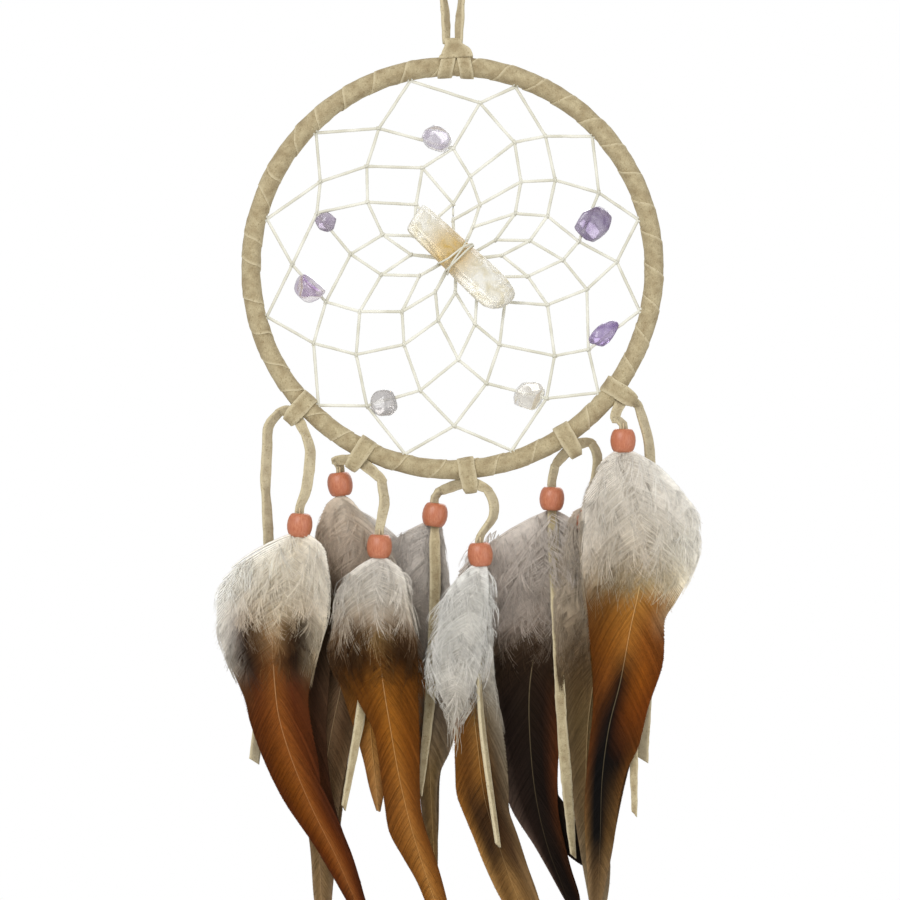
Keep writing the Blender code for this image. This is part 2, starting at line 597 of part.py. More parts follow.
def make_hanger():
    """The lace loop that the whole thing hangs from, and its knot with two straps over the hoop."""
    line = smooth([(x, 0.0, z) for x, z in LOOP], LOOP_STEP)
    turns = [LOOP_TURN[0] + (LOOP_TURN[1] - LOOP_TURN[0]) * i / (len(line) - 1) for i in range(len(line))]
    sections = strip_sections(line, [LACE_WIDTH] * len(line), LACE_THICK, turns)
    place("hanging_loop", loft("hanging_loop", sections), SUEDE, PARTS)

    inner = WRAP_RADIUS + HANGER_CLEARANCE
    straps = [band("strap", degrees, inner, inner + LACE_THICK, width, STRAP_STEPS)
              for degrees, width in HANGER_STRAPS]
    sections = [[(left, -NECK_DEPTH, z), (right, -NECK_DEPTH, z), (right, NECK_DEPTH, z),
                 (left, NECK_DEPTH, z)] for z, left, right in NECK]
    knot = place("hanger_knot", loft("hanger_knot", sections), SUEDE, PARTS)
    add_tool(knot, joined("straps", straps), "UNION")


for old in list(bpy.data.objects):
    bpy.data.objects.remove(old)
PARTS = new_collection("dream_catcher")
CUTTERS = new_collection("cutters")
STEEL = material("steel wire", "9b9c9e", 0.35, 1.0)
SUEDE = material("beige suede", "b7a57f", 0.9)
SINEW = material("waxed sinew", "dedccb", 0.6)
CRYSTAL = material("citrine", "e2dcc8", 0.15)
AMETHYST = material("amethyst", "8d7f9c", 0.15)
PAINTED_WOOD = material("painted wood", "c67c5c", 0.45)
FEATHER = material("feather", "8a5a34", 0.8)

make_hoop()
make_web()
make_crystal()
make_chips()
make_knots()
make_laces()
make_beads()
make_feathers()
make_hanger()
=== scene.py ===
import math

import bmesh
import bpy
import numpy as np
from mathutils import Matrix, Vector, noise


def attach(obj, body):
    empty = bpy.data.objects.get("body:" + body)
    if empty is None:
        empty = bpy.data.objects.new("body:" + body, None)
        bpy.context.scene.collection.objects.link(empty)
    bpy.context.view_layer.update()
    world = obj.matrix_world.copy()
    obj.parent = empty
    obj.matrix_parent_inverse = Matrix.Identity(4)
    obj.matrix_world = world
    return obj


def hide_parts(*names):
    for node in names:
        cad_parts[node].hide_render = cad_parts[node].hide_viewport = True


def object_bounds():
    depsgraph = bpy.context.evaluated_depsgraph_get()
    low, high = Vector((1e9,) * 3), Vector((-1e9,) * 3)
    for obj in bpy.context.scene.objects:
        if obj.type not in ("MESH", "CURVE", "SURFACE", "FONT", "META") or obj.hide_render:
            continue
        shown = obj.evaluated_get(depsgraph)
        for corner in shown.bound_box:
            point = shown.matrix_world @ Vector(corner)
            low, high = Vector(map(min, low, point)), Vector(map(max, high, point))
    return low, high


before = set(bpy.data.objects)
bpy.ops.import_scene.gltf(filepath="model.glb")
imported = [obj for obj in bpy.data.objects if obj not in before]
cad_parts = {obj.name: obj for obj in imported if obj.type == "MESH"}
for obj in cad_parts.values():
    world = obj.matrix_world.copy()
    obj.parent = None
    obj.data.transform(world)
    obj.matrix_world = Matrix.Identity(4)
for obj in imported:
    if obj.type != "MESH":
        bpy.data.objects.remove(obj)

cad_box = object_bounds()
MM = 0.001


# ---------------------------------------------------------------------------------------------------
# The room: a pale floor below the hanging dream catcher, a white surround and three soft lamps.
# ---------------------------------------------------------------------------------------------------

def linear(code):
    """A colour written as six hex digits, as linear red, green, blue and alpha."""
    parts = [int(code[i:i + 2], 16) / 255 for i in (0, 2, 4)]
    return (*(p / 12.92 if p <= 0.04045 else ((p + 0.055) / 1.055) ** 2.4 for p in parts), 1.0)


def add_node(tree, kind, inputs=None, **settings):
    """A node with its settings. Each input gets a value, or a link if the value is another node's socket."""
    made = tree.nodes.new(kind)
    for key, value in settings.items():
        setattr(made, key, value)
    for key, value in (inputs or {}).items():
        if isinstance(value, bpy.types.NodeSocket):
            tree.links.new(value, made.inputs[key])
        else:
            made.inputs[key].default_value = value
    return made


LENS_MM = 100.0
VIEW_FROM = Vector((-0.00077, -0.774, -0.15335))
camera_data = bpy.data.cameras.new("camera")
camera_data.lens = LENS_MM
camera = bpy.data.objects.new("camera", camera_data)
camera.location = VIEW_FROM
camera.rotation_euler = (math.radians(90), 0, 0)
bpy.context.scene.collection.objects.link(camera)
bpy.context.scene.camera = camera
bpy.context.scene.view_settings.view_transform = "Standard"

LAMPS = [("key", (-0.5, -0.9, 0.45), 0.7, 8.0), ("fill", (0.8, -0.8, -0.1), 0.9, 3.5),
         ("rim", (0.3, 0.9, 0.4), 0.8, 5.0)]  # name, place, side in metres, watts
LAMPS_AIM = Vector((0, 0, -0.15))
for lamp_name, place, size, power in LAMPS:
    lamp = bpy.data.lights.new(lamp_name, "AREA")
    lamp.size = size
    lamp.energy = power
    lamp_object = bpy.data.objects.new(lamp_name, lamp)
    lamp_object.location = place
    lamp_object.rotation_euler = (LAMPS_AIM - Vector(place)).to_track_quat("-Z", "Y").to_euler()
    bpy.context.scene.collection.objects.link(lamp_object)

world = bpy.data.worlds.new("white_surround")
bpy.context.scene.world = world
world.use_nodes = True
world.node_tree.nodes.clear()
rays = add_node(world.node_tree, "ShaderNodeLightPath")
glow = add_node(world.node_tree, "ShaderNodeMix", {0: rays.outputs["Is Camera Ray"], 2: 0.62, 3: 1.0})
surround = add_node(world.node_tree, "ShaderNodeBackground",
                    {"Color": (1, 1, 1, 1), "Strength": glow.outputs[0]})
add_node(world.node_tree, "ShaderNodeOutputWorld", {"Surface": surround.outputs[0]})

FLOOR_DROP = 0.06  # below the lowest feather
FLOOR_RADIUS = 0.45
bpy.ops.mesh.primitive_circle_add(
    vertices=96, radius=FLOOR_RADIUS, fill_type="NGON", location=(0, 0, cad_box[0].z - FLOOR_DROP))
floor = bpy.context.object
floor.name = "floor"
floor_paint = bpy.data.materials.new("matt white paint")
floor_paint.use_nodes = True
floor_tree = floor_paint.node_tree
floor_place = add_node(floor_tree, "ShaderNodeTexCoord")
floor_far = add_node(floor_tree, "ShaderNodeVectorMath", {0: floor_place.outputs["Object"]},
                     operation="LENGTH")
floor_fade = add_node(floor_tree, "ShaderNodeMapRange", {
    "Value": floor_far.outputs["Value"], "From Min": FLOOR_RADIUS * 0.45, "From Max": FLOOR_RADIUS * 0.98,
    "To Min": 1.0, "To Max": 0.0}, interpolation_type="SMOOTHSTEP")
floor_shader = floor_tree.nodes["Principled BSDF"]
floor_shader.inputs["Base Color"].default_value = linear("f4f3f0")
floor_shader.inputs["Roughness"].default_value = 0.9
floor_tree.links.new(floor_fade.outputs["Result"], floor_shader.inputs["Alpha"])
floor.data.materials.append(floor_paint)


# ---------------------------------------------------------------------------------------------------
# The beads: short barrels turned from soft wood, drilled, and dipped in coral paint that has dried
# satin, a little streaky along the grain and thinner on the edges.
# ---------------------------------------------------------------------------------------------------

HOOP_DROP = 97.0  # from the hanging point to the hoop's centre
BEADS = {
    1: (-47.0, -79.5), 2: (-35.0, -67.0), 3: (-22.5, -86.0), 4: (-5.5, -76.5),
    5: (8.5, -88.5), 6: (31.0, -71.5), 7: (52.5, -53.5), 8: (42.0, -78.5),
}
BEAD_LEAN = {1: 6, 2: -10, 3: 4, 4: 12, 5: -5, 6: 3, 7: 0, 8: 5}
FRONT, BACK = -4.4, 4.4
BEAD_DEPTH = {1: FRONT, 2: BACK, 3: FRONT, 4: BACK, 5: FRONT, 6: BACK, 7: FRONT, 8: BACK}
BEAD_OUTLINE = [(2.0, 3.5), (2.4, 3.65), (2.95, 3.3), (3.45, 2.5), (3.8, 1.3), (3.92, 0.0), (3.8, -1.3),
                (3.45, -2.5), (2.95, -3.3), (2.4, -3.65), (2.0, -3.5), (1.9, -2.0), (1.9, 2.0)]
BEAD_SIDES = 40
BEAD_UNEVEN = 0.035  # of the radius
LEAN_SHOWN = 0.6  # of the lean, which a bead on a lace has room for
TASSEL = {number: f"tassel_{number}" for number in BEADS}


def from_centre(right, up, depth=0.0):
    """A point given in millimetres from the hoop's centre."""
    return Vector((right, depth, up - HOOP_DROP)) * MM


def new_material(name):
    made = bpy.data.materials.new(name)
    made.use_nodes = True
    return made, made.node_tree, made.node_tree.nodes["Principled BSDF"]


def new_piece(name, points, faces, finish, smooth=True):
    """A piece made of points in metres and faces, shaded smooth."""
    mesh = bpy.data.meshes.new(name)
    mesh.from_pydata([tuple(p) for p in points], [], faces)
    mesh.update()
    if smooth:
        mesh.shade_smooth()
    mesh.materials.append(finish)
    piece = bpy.data.objects.new(name, mesh)
    bpy.context.scene.collection.objects.link(piece)
    return piece


def painted_wood():
    """Coral paint on turned wood: satin, with streaks 0.3 mm wide along the grain and worn, paler edges."""
    made, tree, shader = new_material("coral paint on turned wood")
    spot = add_node(tree, "ShaderNodeTexCoord")
    stretch = add_node(tree, "ShaderNodeMapping", {"Vector": spot.outputs["Object"],
                                                   "Scale": (3000, 3000, 700)})
    streaks = add_node(tree, "ShaderNodeTexNoise", {"Vector": stretch.outputs[0], "Scale": 1.0,
                                                    "Detail": 4.0})
    blotch = add_node(tree, "ShaderNodeTexNoise", {"Vector": spot.outputs["Object"], "Scale": 450.0,
                                                   "Detail": 2.0})
    paint = add_node(tree, "ShaderNodeValToRGB", {"Fac": streaks.outputs["Fac"]})
    paint.color_ramp.elements[0].position, paint.color_ramp.elements[0].color = 0.28, linear("a65a3a")
    paint.color_ramp.elements[1].position, paint.color_ramp.elements[1].color = 0.72, linear("cc8b68")
    patchy = add_node(tree, "ShaderNodeMix", {
        0: blotch.outputs["Fac"], 6: linear("b56848"), 7: paint.outputs["Color"]}, data_type="RGBA")
    tree.links.new(patchy.outputs[2], shader.inputs["Base Color"])
    shader.inputs["Roughness"].default_value = 0.42
    shader.inputs["Coat Weight"].default_value = 0.15
    shader.inputs["Coat Roughness"].default_value = 0.3
    grain = add_node(tree, "ShaderNodeBump", {"Height": streaks.outputs["Fac"], "Strength": 0.35,
                                              "Distance": 0.0001})
    tree.links.new(grain.outputs[0], shader.inputs["Normal"])
    return made


CORAL_PAINT = painted_wood()
for number, (right, up) in BEADS.items():
    middle = from_centre(right, up, BEAD_DEPTH[number])
    lean = math.sin(math.radians(BEAD_LEAN[number])) * LEAN_SHOWN
    points, faces = [], []
    for k in range(BEAD_SIDES):
        turn = 2 * math.pi * k / BEAD_SIDES
        for radius, height in BEAD_OUTLINE:
            uneven = 1 + BEAD_UNEVEN * noise.noise((math.cos(turn) * 1.3, math.sin(turn) * 1.3,
                                                    number + height / 5))
            side = Vector((radius * uneven * math.cos(turn), radius * uneven * math.sin(turn), height)) * MM
            points.append(middle + Vector((side.x + lean * side.z, side.y, side.z - lean * side.x)))
    rim = len(BEAD_OUTLINE)
    for k in range(BEAD_SIDES):
        for j in range(rim):
            a, b = k * rim + j, k * rim + (j + 1) % rim
            c, d = (k + 1) % BEAD_SIDES * rim + (j + 1) % rim, (k + 1) % BEAD_SIDES * rim + j
            faces.append((a, b, c, d))
    bead = new_piece(f"painted_bead_{number}", points, faces, CORAL_PAINT)
    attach(bead, TASSEL[number])
    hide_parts(f"bead_{number}")


# ---------------------------------------------------------------------------------------------------
# The laces: flat thongs of beige split suede, knife cut, so the cut edges are paler than the nap.
# Each hangs from its knot, is pinched through its bead and ends in a slanting cut.
# ---------------------------------------------------------------------------------------------------

LACE_WIDTH, LACE_THICK, LACE_IN_BEAD = 3.4, 1.0, 2.8
LACE_STEP = 1.5
BEAD_STRAIGHT = 5.4
PIVOT_SHARE = 0.7
LACES = {
    "lace_1_left": ("tail_left", 1.5, None, [
        (-53.5, -44.5), (-57.0, -49.0), (-57.5, -56.0), (-58.0, -66.5), (-57.5, -75.5), (-57.0, -87.5),
        (-57.0, -109.0), (-59.0, -130.5), (-61.5, -153.0)]),
    "lace_1_right": ("tassel_1", FRONT, 1, [
        (-45.5, -51.0), (-44.0, -55.5), (-44.0, -60.0), (-45.0, -68.5), (-47.0, -74.0), (-47.0, -79.5),
        (-47.0, -85.0), (-48.0, -103.0), (-48.5, -121.5), (-47.0, -137.0)]),
    "lace_2_left": ("tassel_2", BACK, 2, [
        (-36.5, -59.5), (-35.0, -61.6), (-35.0, -67.0), (-35.0, -72.5), (-33.0, -90.5), (-31.5, -115.0),
        (-34.0, -140.0), (-40.5, -161.5)]),
    "lace_2_right": ("tassel_3", FRONT, 3, [
        (-22.0, -65.3), (-21.5, -68.5), (-21.0, -73.0), (-22.5, -80.5), (-22.5, -86.0), (-22.5, -91.5),
        (-23.5, -109.0), (-27.5, -133.5), (-33.5, -166.5)]),
    "lace_3_left": ("tassel_4", BACK, 4, [
        (-3.5, -69.0), (-5.5, -71.1), (-5.5, -76.5), (-5.5, -82.0), (-5.5, -85.0), (-5.5, -103.0),
        (-7.0, -133.5), (-10.0, -163.0)]),
    "lace_3_right": ("tassel_5", FRONT, 5, [
        (10.5, -68.3), (12.5, -72.0), (12.5, -77.0), (8.5, -83.1), (8.5, -88.5), (8.5, -94.0),
        (8.0, -115.0), (9.0, -140.0), (14.0, -178.0)]),
    "lace_4_left": ("tassel_6", BACK, 6, [
        (32.0, -60.9), (31.0, -66.0), (31.0, -71.5), (31.0, -77.0), (31.2, -80.0), (31.5, -90.5),
        (32.5, -109.0),
        (34.0, -140.0), (36.0, -164.5), (37.5, -182.5)]),
    "lace_4_right": ("tassel_8", BACK, 8, [
        (43.0, -54.0), (45.0, -58.0), (44.5, -65.5), (42.0, -73.1), (42.0, -78.5), (42.0, -84.0),
        (43.0, -109.0), (45.0, -133.5), (46.5, -155.5)]),
    "lace_5_left": ("tassel_7", FRONT, 7, [
        (50.0, -46.5), (52.5, -48.4), (52.5, -53.5), (52.5, -59.0), (53.0, -78.0), (54.5, -109.0),
        (55.5, -140.0), (56.0, -168.5)]),
    "lace_5_right": ("tail_right", 1.5, None, [
        (57.5, -42.5), (59.5, -48.5), (61.0, -55.0), (61.5, -65.5), (62.0, -84.0), (62.0, -103.0),
        (60.5, -127.5), (59.0, -152.5)]),
}
LACE_TURNS = {  # how far the lace has turned edge-on, in degrees, at each height
    "lace_1_left": [(-44, 20), (-52, 40), (-64, 10), (-70, 55), (-76, 30), (-110, 10), (-153, 25)],
    "lace_1_right": [(-51, 15), (-57, 30), (-66, -10), (-72, 20), (-80, 0), (-137, 20)],
    "lace_2_left": [(-59, 25), (-63, 35), (-67, 0), (-115, 60), (-140, 75), (-161, 60)],
    "lace_2_right": [(-65, 20), (-70, 45), (-76, 10), (-80, -15), (-86, 0), (-133, 20), (-166, 30)],
    "lace_3_left": [(-69, 20), (-73, 30), (-76, 0), (-103, 10), (-163, -10)],
    "lace_3_right": [(-68, 15), (-75, 40), (-82, 50), (-88, 0), (-110, 40), (-125, 75), (-178, 50)],
    "lace_4_left": [(-61, 15), (-66, 25), (-71, 0), (-90, 15), (-140, -20), (-182, 20)],
    "lace_4_right": [(-54, 20), (-60, 40), (-70, 20), (-78, 0), (-155, 10)],
    "lace_5_left": [(-46, 15), (-50, 25), (-53, 0), (-109, 20), (-168, -10)],
    "lace_5_right": [(-42, 20), (-50, 35), (-60, 20), (-84, -10), (-110, 10), (-152, -10)],
}
FRONT_TAIL = {"lace_4_left": -1.5, "lace_3_left": -1.5}
LACE_END = 0.9  # how far the slanting cut runs along the lace
LACE_BLEACHED = 0.18  # how far a lace has paled above its bead, next to the suede on the hoop
LACE_AT_KNOT = 0.8  # of its width
LACE_TIP = 1.6
TAIL_EASE = 3.0  # over which a lace comes forward below its bead
LACE_WAVE = 0.16


def split_suede():
    """Split suede: a short nap with no gloss, mottled in 3 mm patches, with 0.3 mm grain and dark pits.

    "bleached" pales it, "cut_edge" marks its knife-cut sides, and a third attribute paints shade: the dark
    line where one turn ends.
    """
    made, tree, shader = new_material("beige split suede")
    spot = add_node(tree, "ShaderNodeTexCoord")
    mottle = add_node(tree, "ShaderNodeTexNoise", {"Vector": spot.outputs["Object"], "Scale": 330.0,
                                                   "Detail": 3.0})
    nap = add_node(tree, "ShaderNodeTexNoise", {
        "Vector": spot.outputs["Object"], "Scale": 3200.0, "Detail": 5.0, "Roughness": 0.7})
    tone = add_node(tree, "ShaderNodeValToRGB", {"Fac": mottle.outputs["Fac"]})
    tone.color_ramp.elements[0].position, tone.color_ramp.elements[0].color = 0.3, linear("a39271")
    tone.color_ramp.elements[1].position, tone.color_ramp.elements[1].color = 0.7, linear("c2b491")
    grainy = add_node(tree, "ShaderNodeMapRange", {
        "Value": nap.outputs["Fac"], "From Min": 0.3, "From Max": 0.7, "To Min": 0.7, "To Max": 1.14})
    napped = add_node(tree, "ShaderNodeVectorMath", {
        0: tone.outputs["Color"], "Scale": grainy.outputs["Result"]}, operation="SCALE")
    bleached = add_node(tree, "ShaderNodeAttribute", attribute_name="bleached")
    aged = add_node(tree, "ShaderNodeMix", {
        0: bleached.outputs["Fac"], 6: napped.outputs[0], 7: linear("dad2c0")}, data_type="RGBA")
    cut = add_node(tree, "ShaderNodeAttribute", attribute_name="cut_edge")
    pale = add_node(tree, "ShaderNodeMix", {
        0: cut.outputs["Fac"], 6: aged.outputs[2], 7: linear("cabd9c")}, data_type="RGBA")
    grit = add_node(tree, "ShaderNodeTexNoise", {"Vector": spot.outputs["Object"], "Scale": 1500.0,
                                                 "Detail": 2.0})
    pit = add_node(tree, "ShaderNodeMapRange", {
        "Value": grit.outputs["Fac"], "From Min": 0.3, "From Max": 0.42, "To Min": 0.45, "To Max": 0.0})
    pitted = add_node(tree, "ShaderNodeMix", {
        0: pit.outputs["Result"], 6: pale.outputs[2], 7: linear("75603a")}, data_type="RGBA")
    # Painted shade: a dark line along each turn of the wrap, where the next turn laps over it.
    lap_shade = add_node(tree, "ShaderNodeAttribute", attribute_name="lap_shade")
    dark = add_node(tree, "ShaderNodeMix", {
        0: lap_shade.outputs["Fac"], 6: pitted.outputs[2], 7: linear("5a482c")}, data_type="RGBA")
    tree.links.new(dark.outputs[2], shader.inputs["Base Color"])
    shader.inputs["Roughness"].default_value = 0.95
    shader.inputs["Specular IOR Level"].default_value = 0.15
    shader.inputs["Sheen Weight"].default_value = 0.08
    shader.inputs["Sheen Roughness"].default_value = 0.5
    rough = add_node(tree, "ShaderNodeBump", {"Height": nap.outputs["Fac"], "Strength": 0.55,
                                              "Distance": 0.00025})
    soft = add_node(tree, "ShaderNodeBump", {
        "Height": mottle.outputs["Fac"], "Strength": 0.4, "Distance": 0.0006, "Normal": rough.outputs[0]})
    tree.links.new(soft.outputs[0], shader.inputs["Normal"])
    return made


SUEDE = split_suede()


def smooth(points, step):
    """Points about a step apart on the smooth curve through the given ones, of any number of values each."""
    ends = [points[0], *points, points[-1]]
    found = []
    for i in range(len(points) - 1):
        a, b, c, d = (Vector(p) for p in ends[i:i + 4])
        count = max(1, round((c - b).length / step))
        for k in range(count):
            t = k / count
            found.append(0.5 * (2 * b + (c - a) * t + (2 * a - 5 * b + 4 * c - d) * t * t
                                + (3 * b - a - 3 * c + d) * t ** 3))
    return [*found, Vector(points[-1])]


def turn_faces_out(mesh):
    shell = bmesh.new()
    shell.from_mesh(mesh)
    bmesh.ops.recalc_face_normals(shell, faces=shell.faces)
    shell.to_mesh(mesh)
    shell.free()


LACE_SECTION = [(-0.5, -0.22), (-0.47, -0.46), (-0.25, -0.5), (0.0, -0.5), (0.25, -0.5), (0.47, -0.46),
                (0.5, -0.22), (0.5, 0.22), (0.47, 0.46), (0.25, 0.5), (0.0, 0.5), (-0.25, 0.5),
                (-0.47, 0.46), (-0.5, 0.22)]


def suede_strip(name, line, widths, sideways, thick=LACE_THICK, closed=False, slant=0.0, bleached=None):
    """A flat strip of suede along a line of points in metres, its width along the vector given at each."""
    points, cut_edge, paled, faces = [], [], [], []
    count, rim = len(line), len(LACE_SECTION)
    for i, here in enumerate(line):
        if closed:
            along = (line[(i + 1) % count] - line[i - 1]).normalized()
        else:
            along = (line[min(i + 1, count - 1)] - line[max(i - 1, 0)]).normalized()
        across = sideways[i] - sideways[i].dot(along) * along
        across.normalize()
        out = across.cross(along)
        for a, b in LACE_SECTION:
            wave = LACE_WAVE * noise.noise(here * 420 + across * a * 2) * MM
            spot = here + across * (a * widths[i] * MM + wave * 1.3) + out * (b * thick * MM + wave)
            if slant and i in (count - 1, count - 2):
                spot += along * slant * MM * a * 2 * (1 if i == count - 1 else 0.5)
            points.append(spot)
            cut_edge.append(1.0 if abs(a) > 0.45 else 0.0)
            paled.append(bleached[i] if bleached else 0.0)
    for i in range(count if closed else count - 1):
        low, high = i * rim, (i + 1) % count * rim
        for k in range(rim):
            nxt = (k + 1) % rim
            faces.append((low + k, low + nxt, high + nxt, high + k))
    if not closed:
        faces.append(tuple(reversed(range(rim))))
        faces.append(tuple((count - 1) * rim + k for k in range(rim)))
    strip = new_piece(name, points, faces, SUEDE)
    strip.data.attributes.new("cut_edge", "FLOAT", "POINT").data.foreach_set("value", cut_edge)
    strip.data.attributes.new("bleached", "FLOAT", "POINT").data.foreach_set("value", paled)
    turn_faces_out(strip.data)
    return strip


def lace_line(name):
    """The points down a lace's middle, in metres, and its width at each in millimetres."""
    _, depth, bead_number, route = LACES[name]
    top = depth * PIVOT_SHARE
    straight = BEADS[bead_number][1] + BEAD_STRAIGHT if bead_number else route[2][1]
    points = []
    for right, up in route:
        share = min(1.0, (route[0][1] - up) / (route[0][1] - straight))
        tail = 0.0
        if name in FRONT_TAIL:
            past_bead = BEADS[bead_number][1] - BEAD_STRAIGHT - up
            tail = FRONT_TAIL[name] * min(1.0, max(0.0, past_bead / TAIL_EASE))
        in_bead = bead_number and abs(up - BEADS[bead_number][1]) <= BEAD_STRAIGHT + 0.2
        points.append((right, top + (depth - top) * share + tail, up,
                       LACE_IN_BEAD if in_bead else LACE_WIDTH))
    points[0] = (*points[0][:3], LACE_WIDTH * LACE_AT_KNOT)
    if bead_number:
        points[-1] = (*points[-1][:3], LACE_TIP)
    return [(from_centre(p[0], p[2], p[1]), p[3]) for p in smooth(points, LACE_STEP)]


def turn_at(turns, up):
    """How far a lace has turned edge-on at a height, in radians."""
    heights = [-h for h, _ in turns]
    return math.radians(float(np.interp(-up, heights, [t for _, t in turns])))


for name, (body, _, bead_number, _) in LACES.items():
    line = lace_line(name)
    middle_line = [p for p, _ in line]
    sideways = []
    for spot in middle_line:
        turn = turn_at(LACE_TURNS[name], spot.z / MM + HOOP_DROP)
        sideways.append(Vector((math.cos(turn), math.sin(turn), 0)))
    lowest_pale = BEADS[bead_number][1] if bead_number else line[-1][0].z / MM
    bleached = [LACE_BLEACHED if spot.z / MM + HOOP_DROP > lowest_pale else 0.0 for spot in middle_line]
    lace = suede_strip(f"thong_{name[5:]}", middle_line, [w for _, w in line], sideways, slant=LACE_END,
                       bleached=bleached)
    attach(lace, body)
    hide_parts(name)


# ---------------------------------------------------------------------------------------------------
# The hanging loop and its knot: one thong, doubled, squeezed together at the neck and taken twice
# over the top of the hoop.
# ---------------------------------------------------------------------------------------------------

LOOP = [(-1.9, -27.7), (-2.1, -20.0), (-3.0, -10.0), (-2.6, -2.6), (0.0, 0.6), (2.6, -2.6), (3.0, -10.0),
        (2.3, -20.0), (1.9, -27.7)]
LOOP_TURN = (37.0, 143.0)
LOOP_WIDTH, LOOP_NARROWING = 3.5, 1.2  # it narrows over the last eighth of its length at each end
loop_line = smooth([Vector((x, 0.0, z)) * MM for x, z in LOOP], LACE_STEP * MM)
loop_turns = [math.radians(LOOP_TURN[0] + (LOOP_TURN[1] - LOOP_TURN[0]) * i / (len(loop_line) - 1))
              for i in range(len(loop_line))]
loop_end = [max(0.0, abs(2 * i / (len(loop_line) - 1) - 1) * 4 - 3) for i in range(len(loop_line))]
loop_width = [LOOP_WIDTH - LOOP_NARROWING * share for share in loop_end]
loop = suede_strip("hanging_thong", loop_line, loop_width,
                   [Vector((math.cos(t), math.sin(t), 0)) for t in loop_turns],
                   bleached=[LACE_BLEACHED / 2] * len(loop_line))
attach(loop, "hanger")
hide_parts("hanging_loop")

HOOP_RADIUS = 62.4
TUBE_RADIUS = 2.65  # outside of the suede wrap


def tube_point(degrees, outward, toward):
    """A point beside the hoop's tube: at an angle round the hoop, so far outward and so far forward."""
    turn = math.radians(degrees)
    reach = HOOP_RADIUS + outward
    return from_centre(reach * math.cos(turn), reach * math.sin(turn), -toward)


def tangent(degrees):
    turn = math.radians(degrees)
    return Vector((-math.sin(turn), 0, math.cos(turn)))


def merge_pieces(name, parts):
    """Several strips as one piece, each still a closed body."""
    whole = bmesh.new()
    for part in parts:
        whole.from_mesh(part.data)
    mesh = bpy.data.meshes.new(name)
    whole.to_mesh(mesh)
    whole.free()
    for finish in parts[0].data.materials:
        mesh.materials.append(finish)
    mesh.shade_smooth()
    for part in parts:
        bpy.data.objects.remove(part)
    piece = bpy.data.objects.new(name, mesh)
    bpy.context.scene.collection.objects.link(piece)
    return piece


HANGER_STRAPS = [(91.6, 4.4, -1), (86.4, 4.2, 1)]  # place round the hoop, width, and the side it comes from
STRAP_SPLAY = 0.8  # how far a strap leans in at the top and out at the bottom, in degrees
STRAP_STEPS = 36
STRAP_THICK, FLAP_THICK = 0.8, 0.9
STRAP_STAND = 0.65  # from the wrap to the strap's middle
hanger_parts = []
for degrees, width, side in HANGER_STRAPS:
    band_line = []
    for k in range(STRAP_STEPS):
        turn = 2 * math.pi * k / STRAP_STEPS
        reach = TUBE_RADIUS + STRAP_STAND
        band_line.append(tube_point(degrees + side * math.cos(turn) * STRAP_SPLAY, reach * math.cos(turn),
                                    reach * math.sin(turn)))
    hanger_parts.append(suede_strip("strap", band_line, [width] * STRAP_STEPS,
                                    [tangent(degrees)] * STRAP_STEPS,
                                    thick=STRAP_THICK, closed=True))
FLARE = [(0.1, 0.75, -26.0, 5.4), (0.15, 0.95, -27.2, 5.3), (0.3, 1.4, -28.2, 5.9), (0.6, 1.95, -29.4, 7.8),
         (1.0, 2.5, -30.9, 10.0), (1.15, 3.0, -32.3, 10.6)]  # right, out from the middle, height and width
for facing in (-1, 1):
    flare = smooth([(right, facing * out, up, width) for right, out, up, width in FLARE], 0.5)
    hanger_parts.append(suede_strip("flare", [Vector(p[:3]) * MM for p in flare], [p[3] for p in flare],
                                    [Vector((1, 0, 0))] * len(flare), thick=FLAP_THICK))
hanger = merge_pieces("hanger_straps", hanger_parts)
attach(hanger, "hanger")
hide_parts("hanger_knot")


# ---------------------------------------------------------------------------------------------------
# The knots: a lace folded in two and pulled through its own fold, so that a flat band comes over the
# hoop, ends in a lobe below it, and the two ends come out of the lobe to left and right.
# ---------------------------------------------------------------------------------------------------

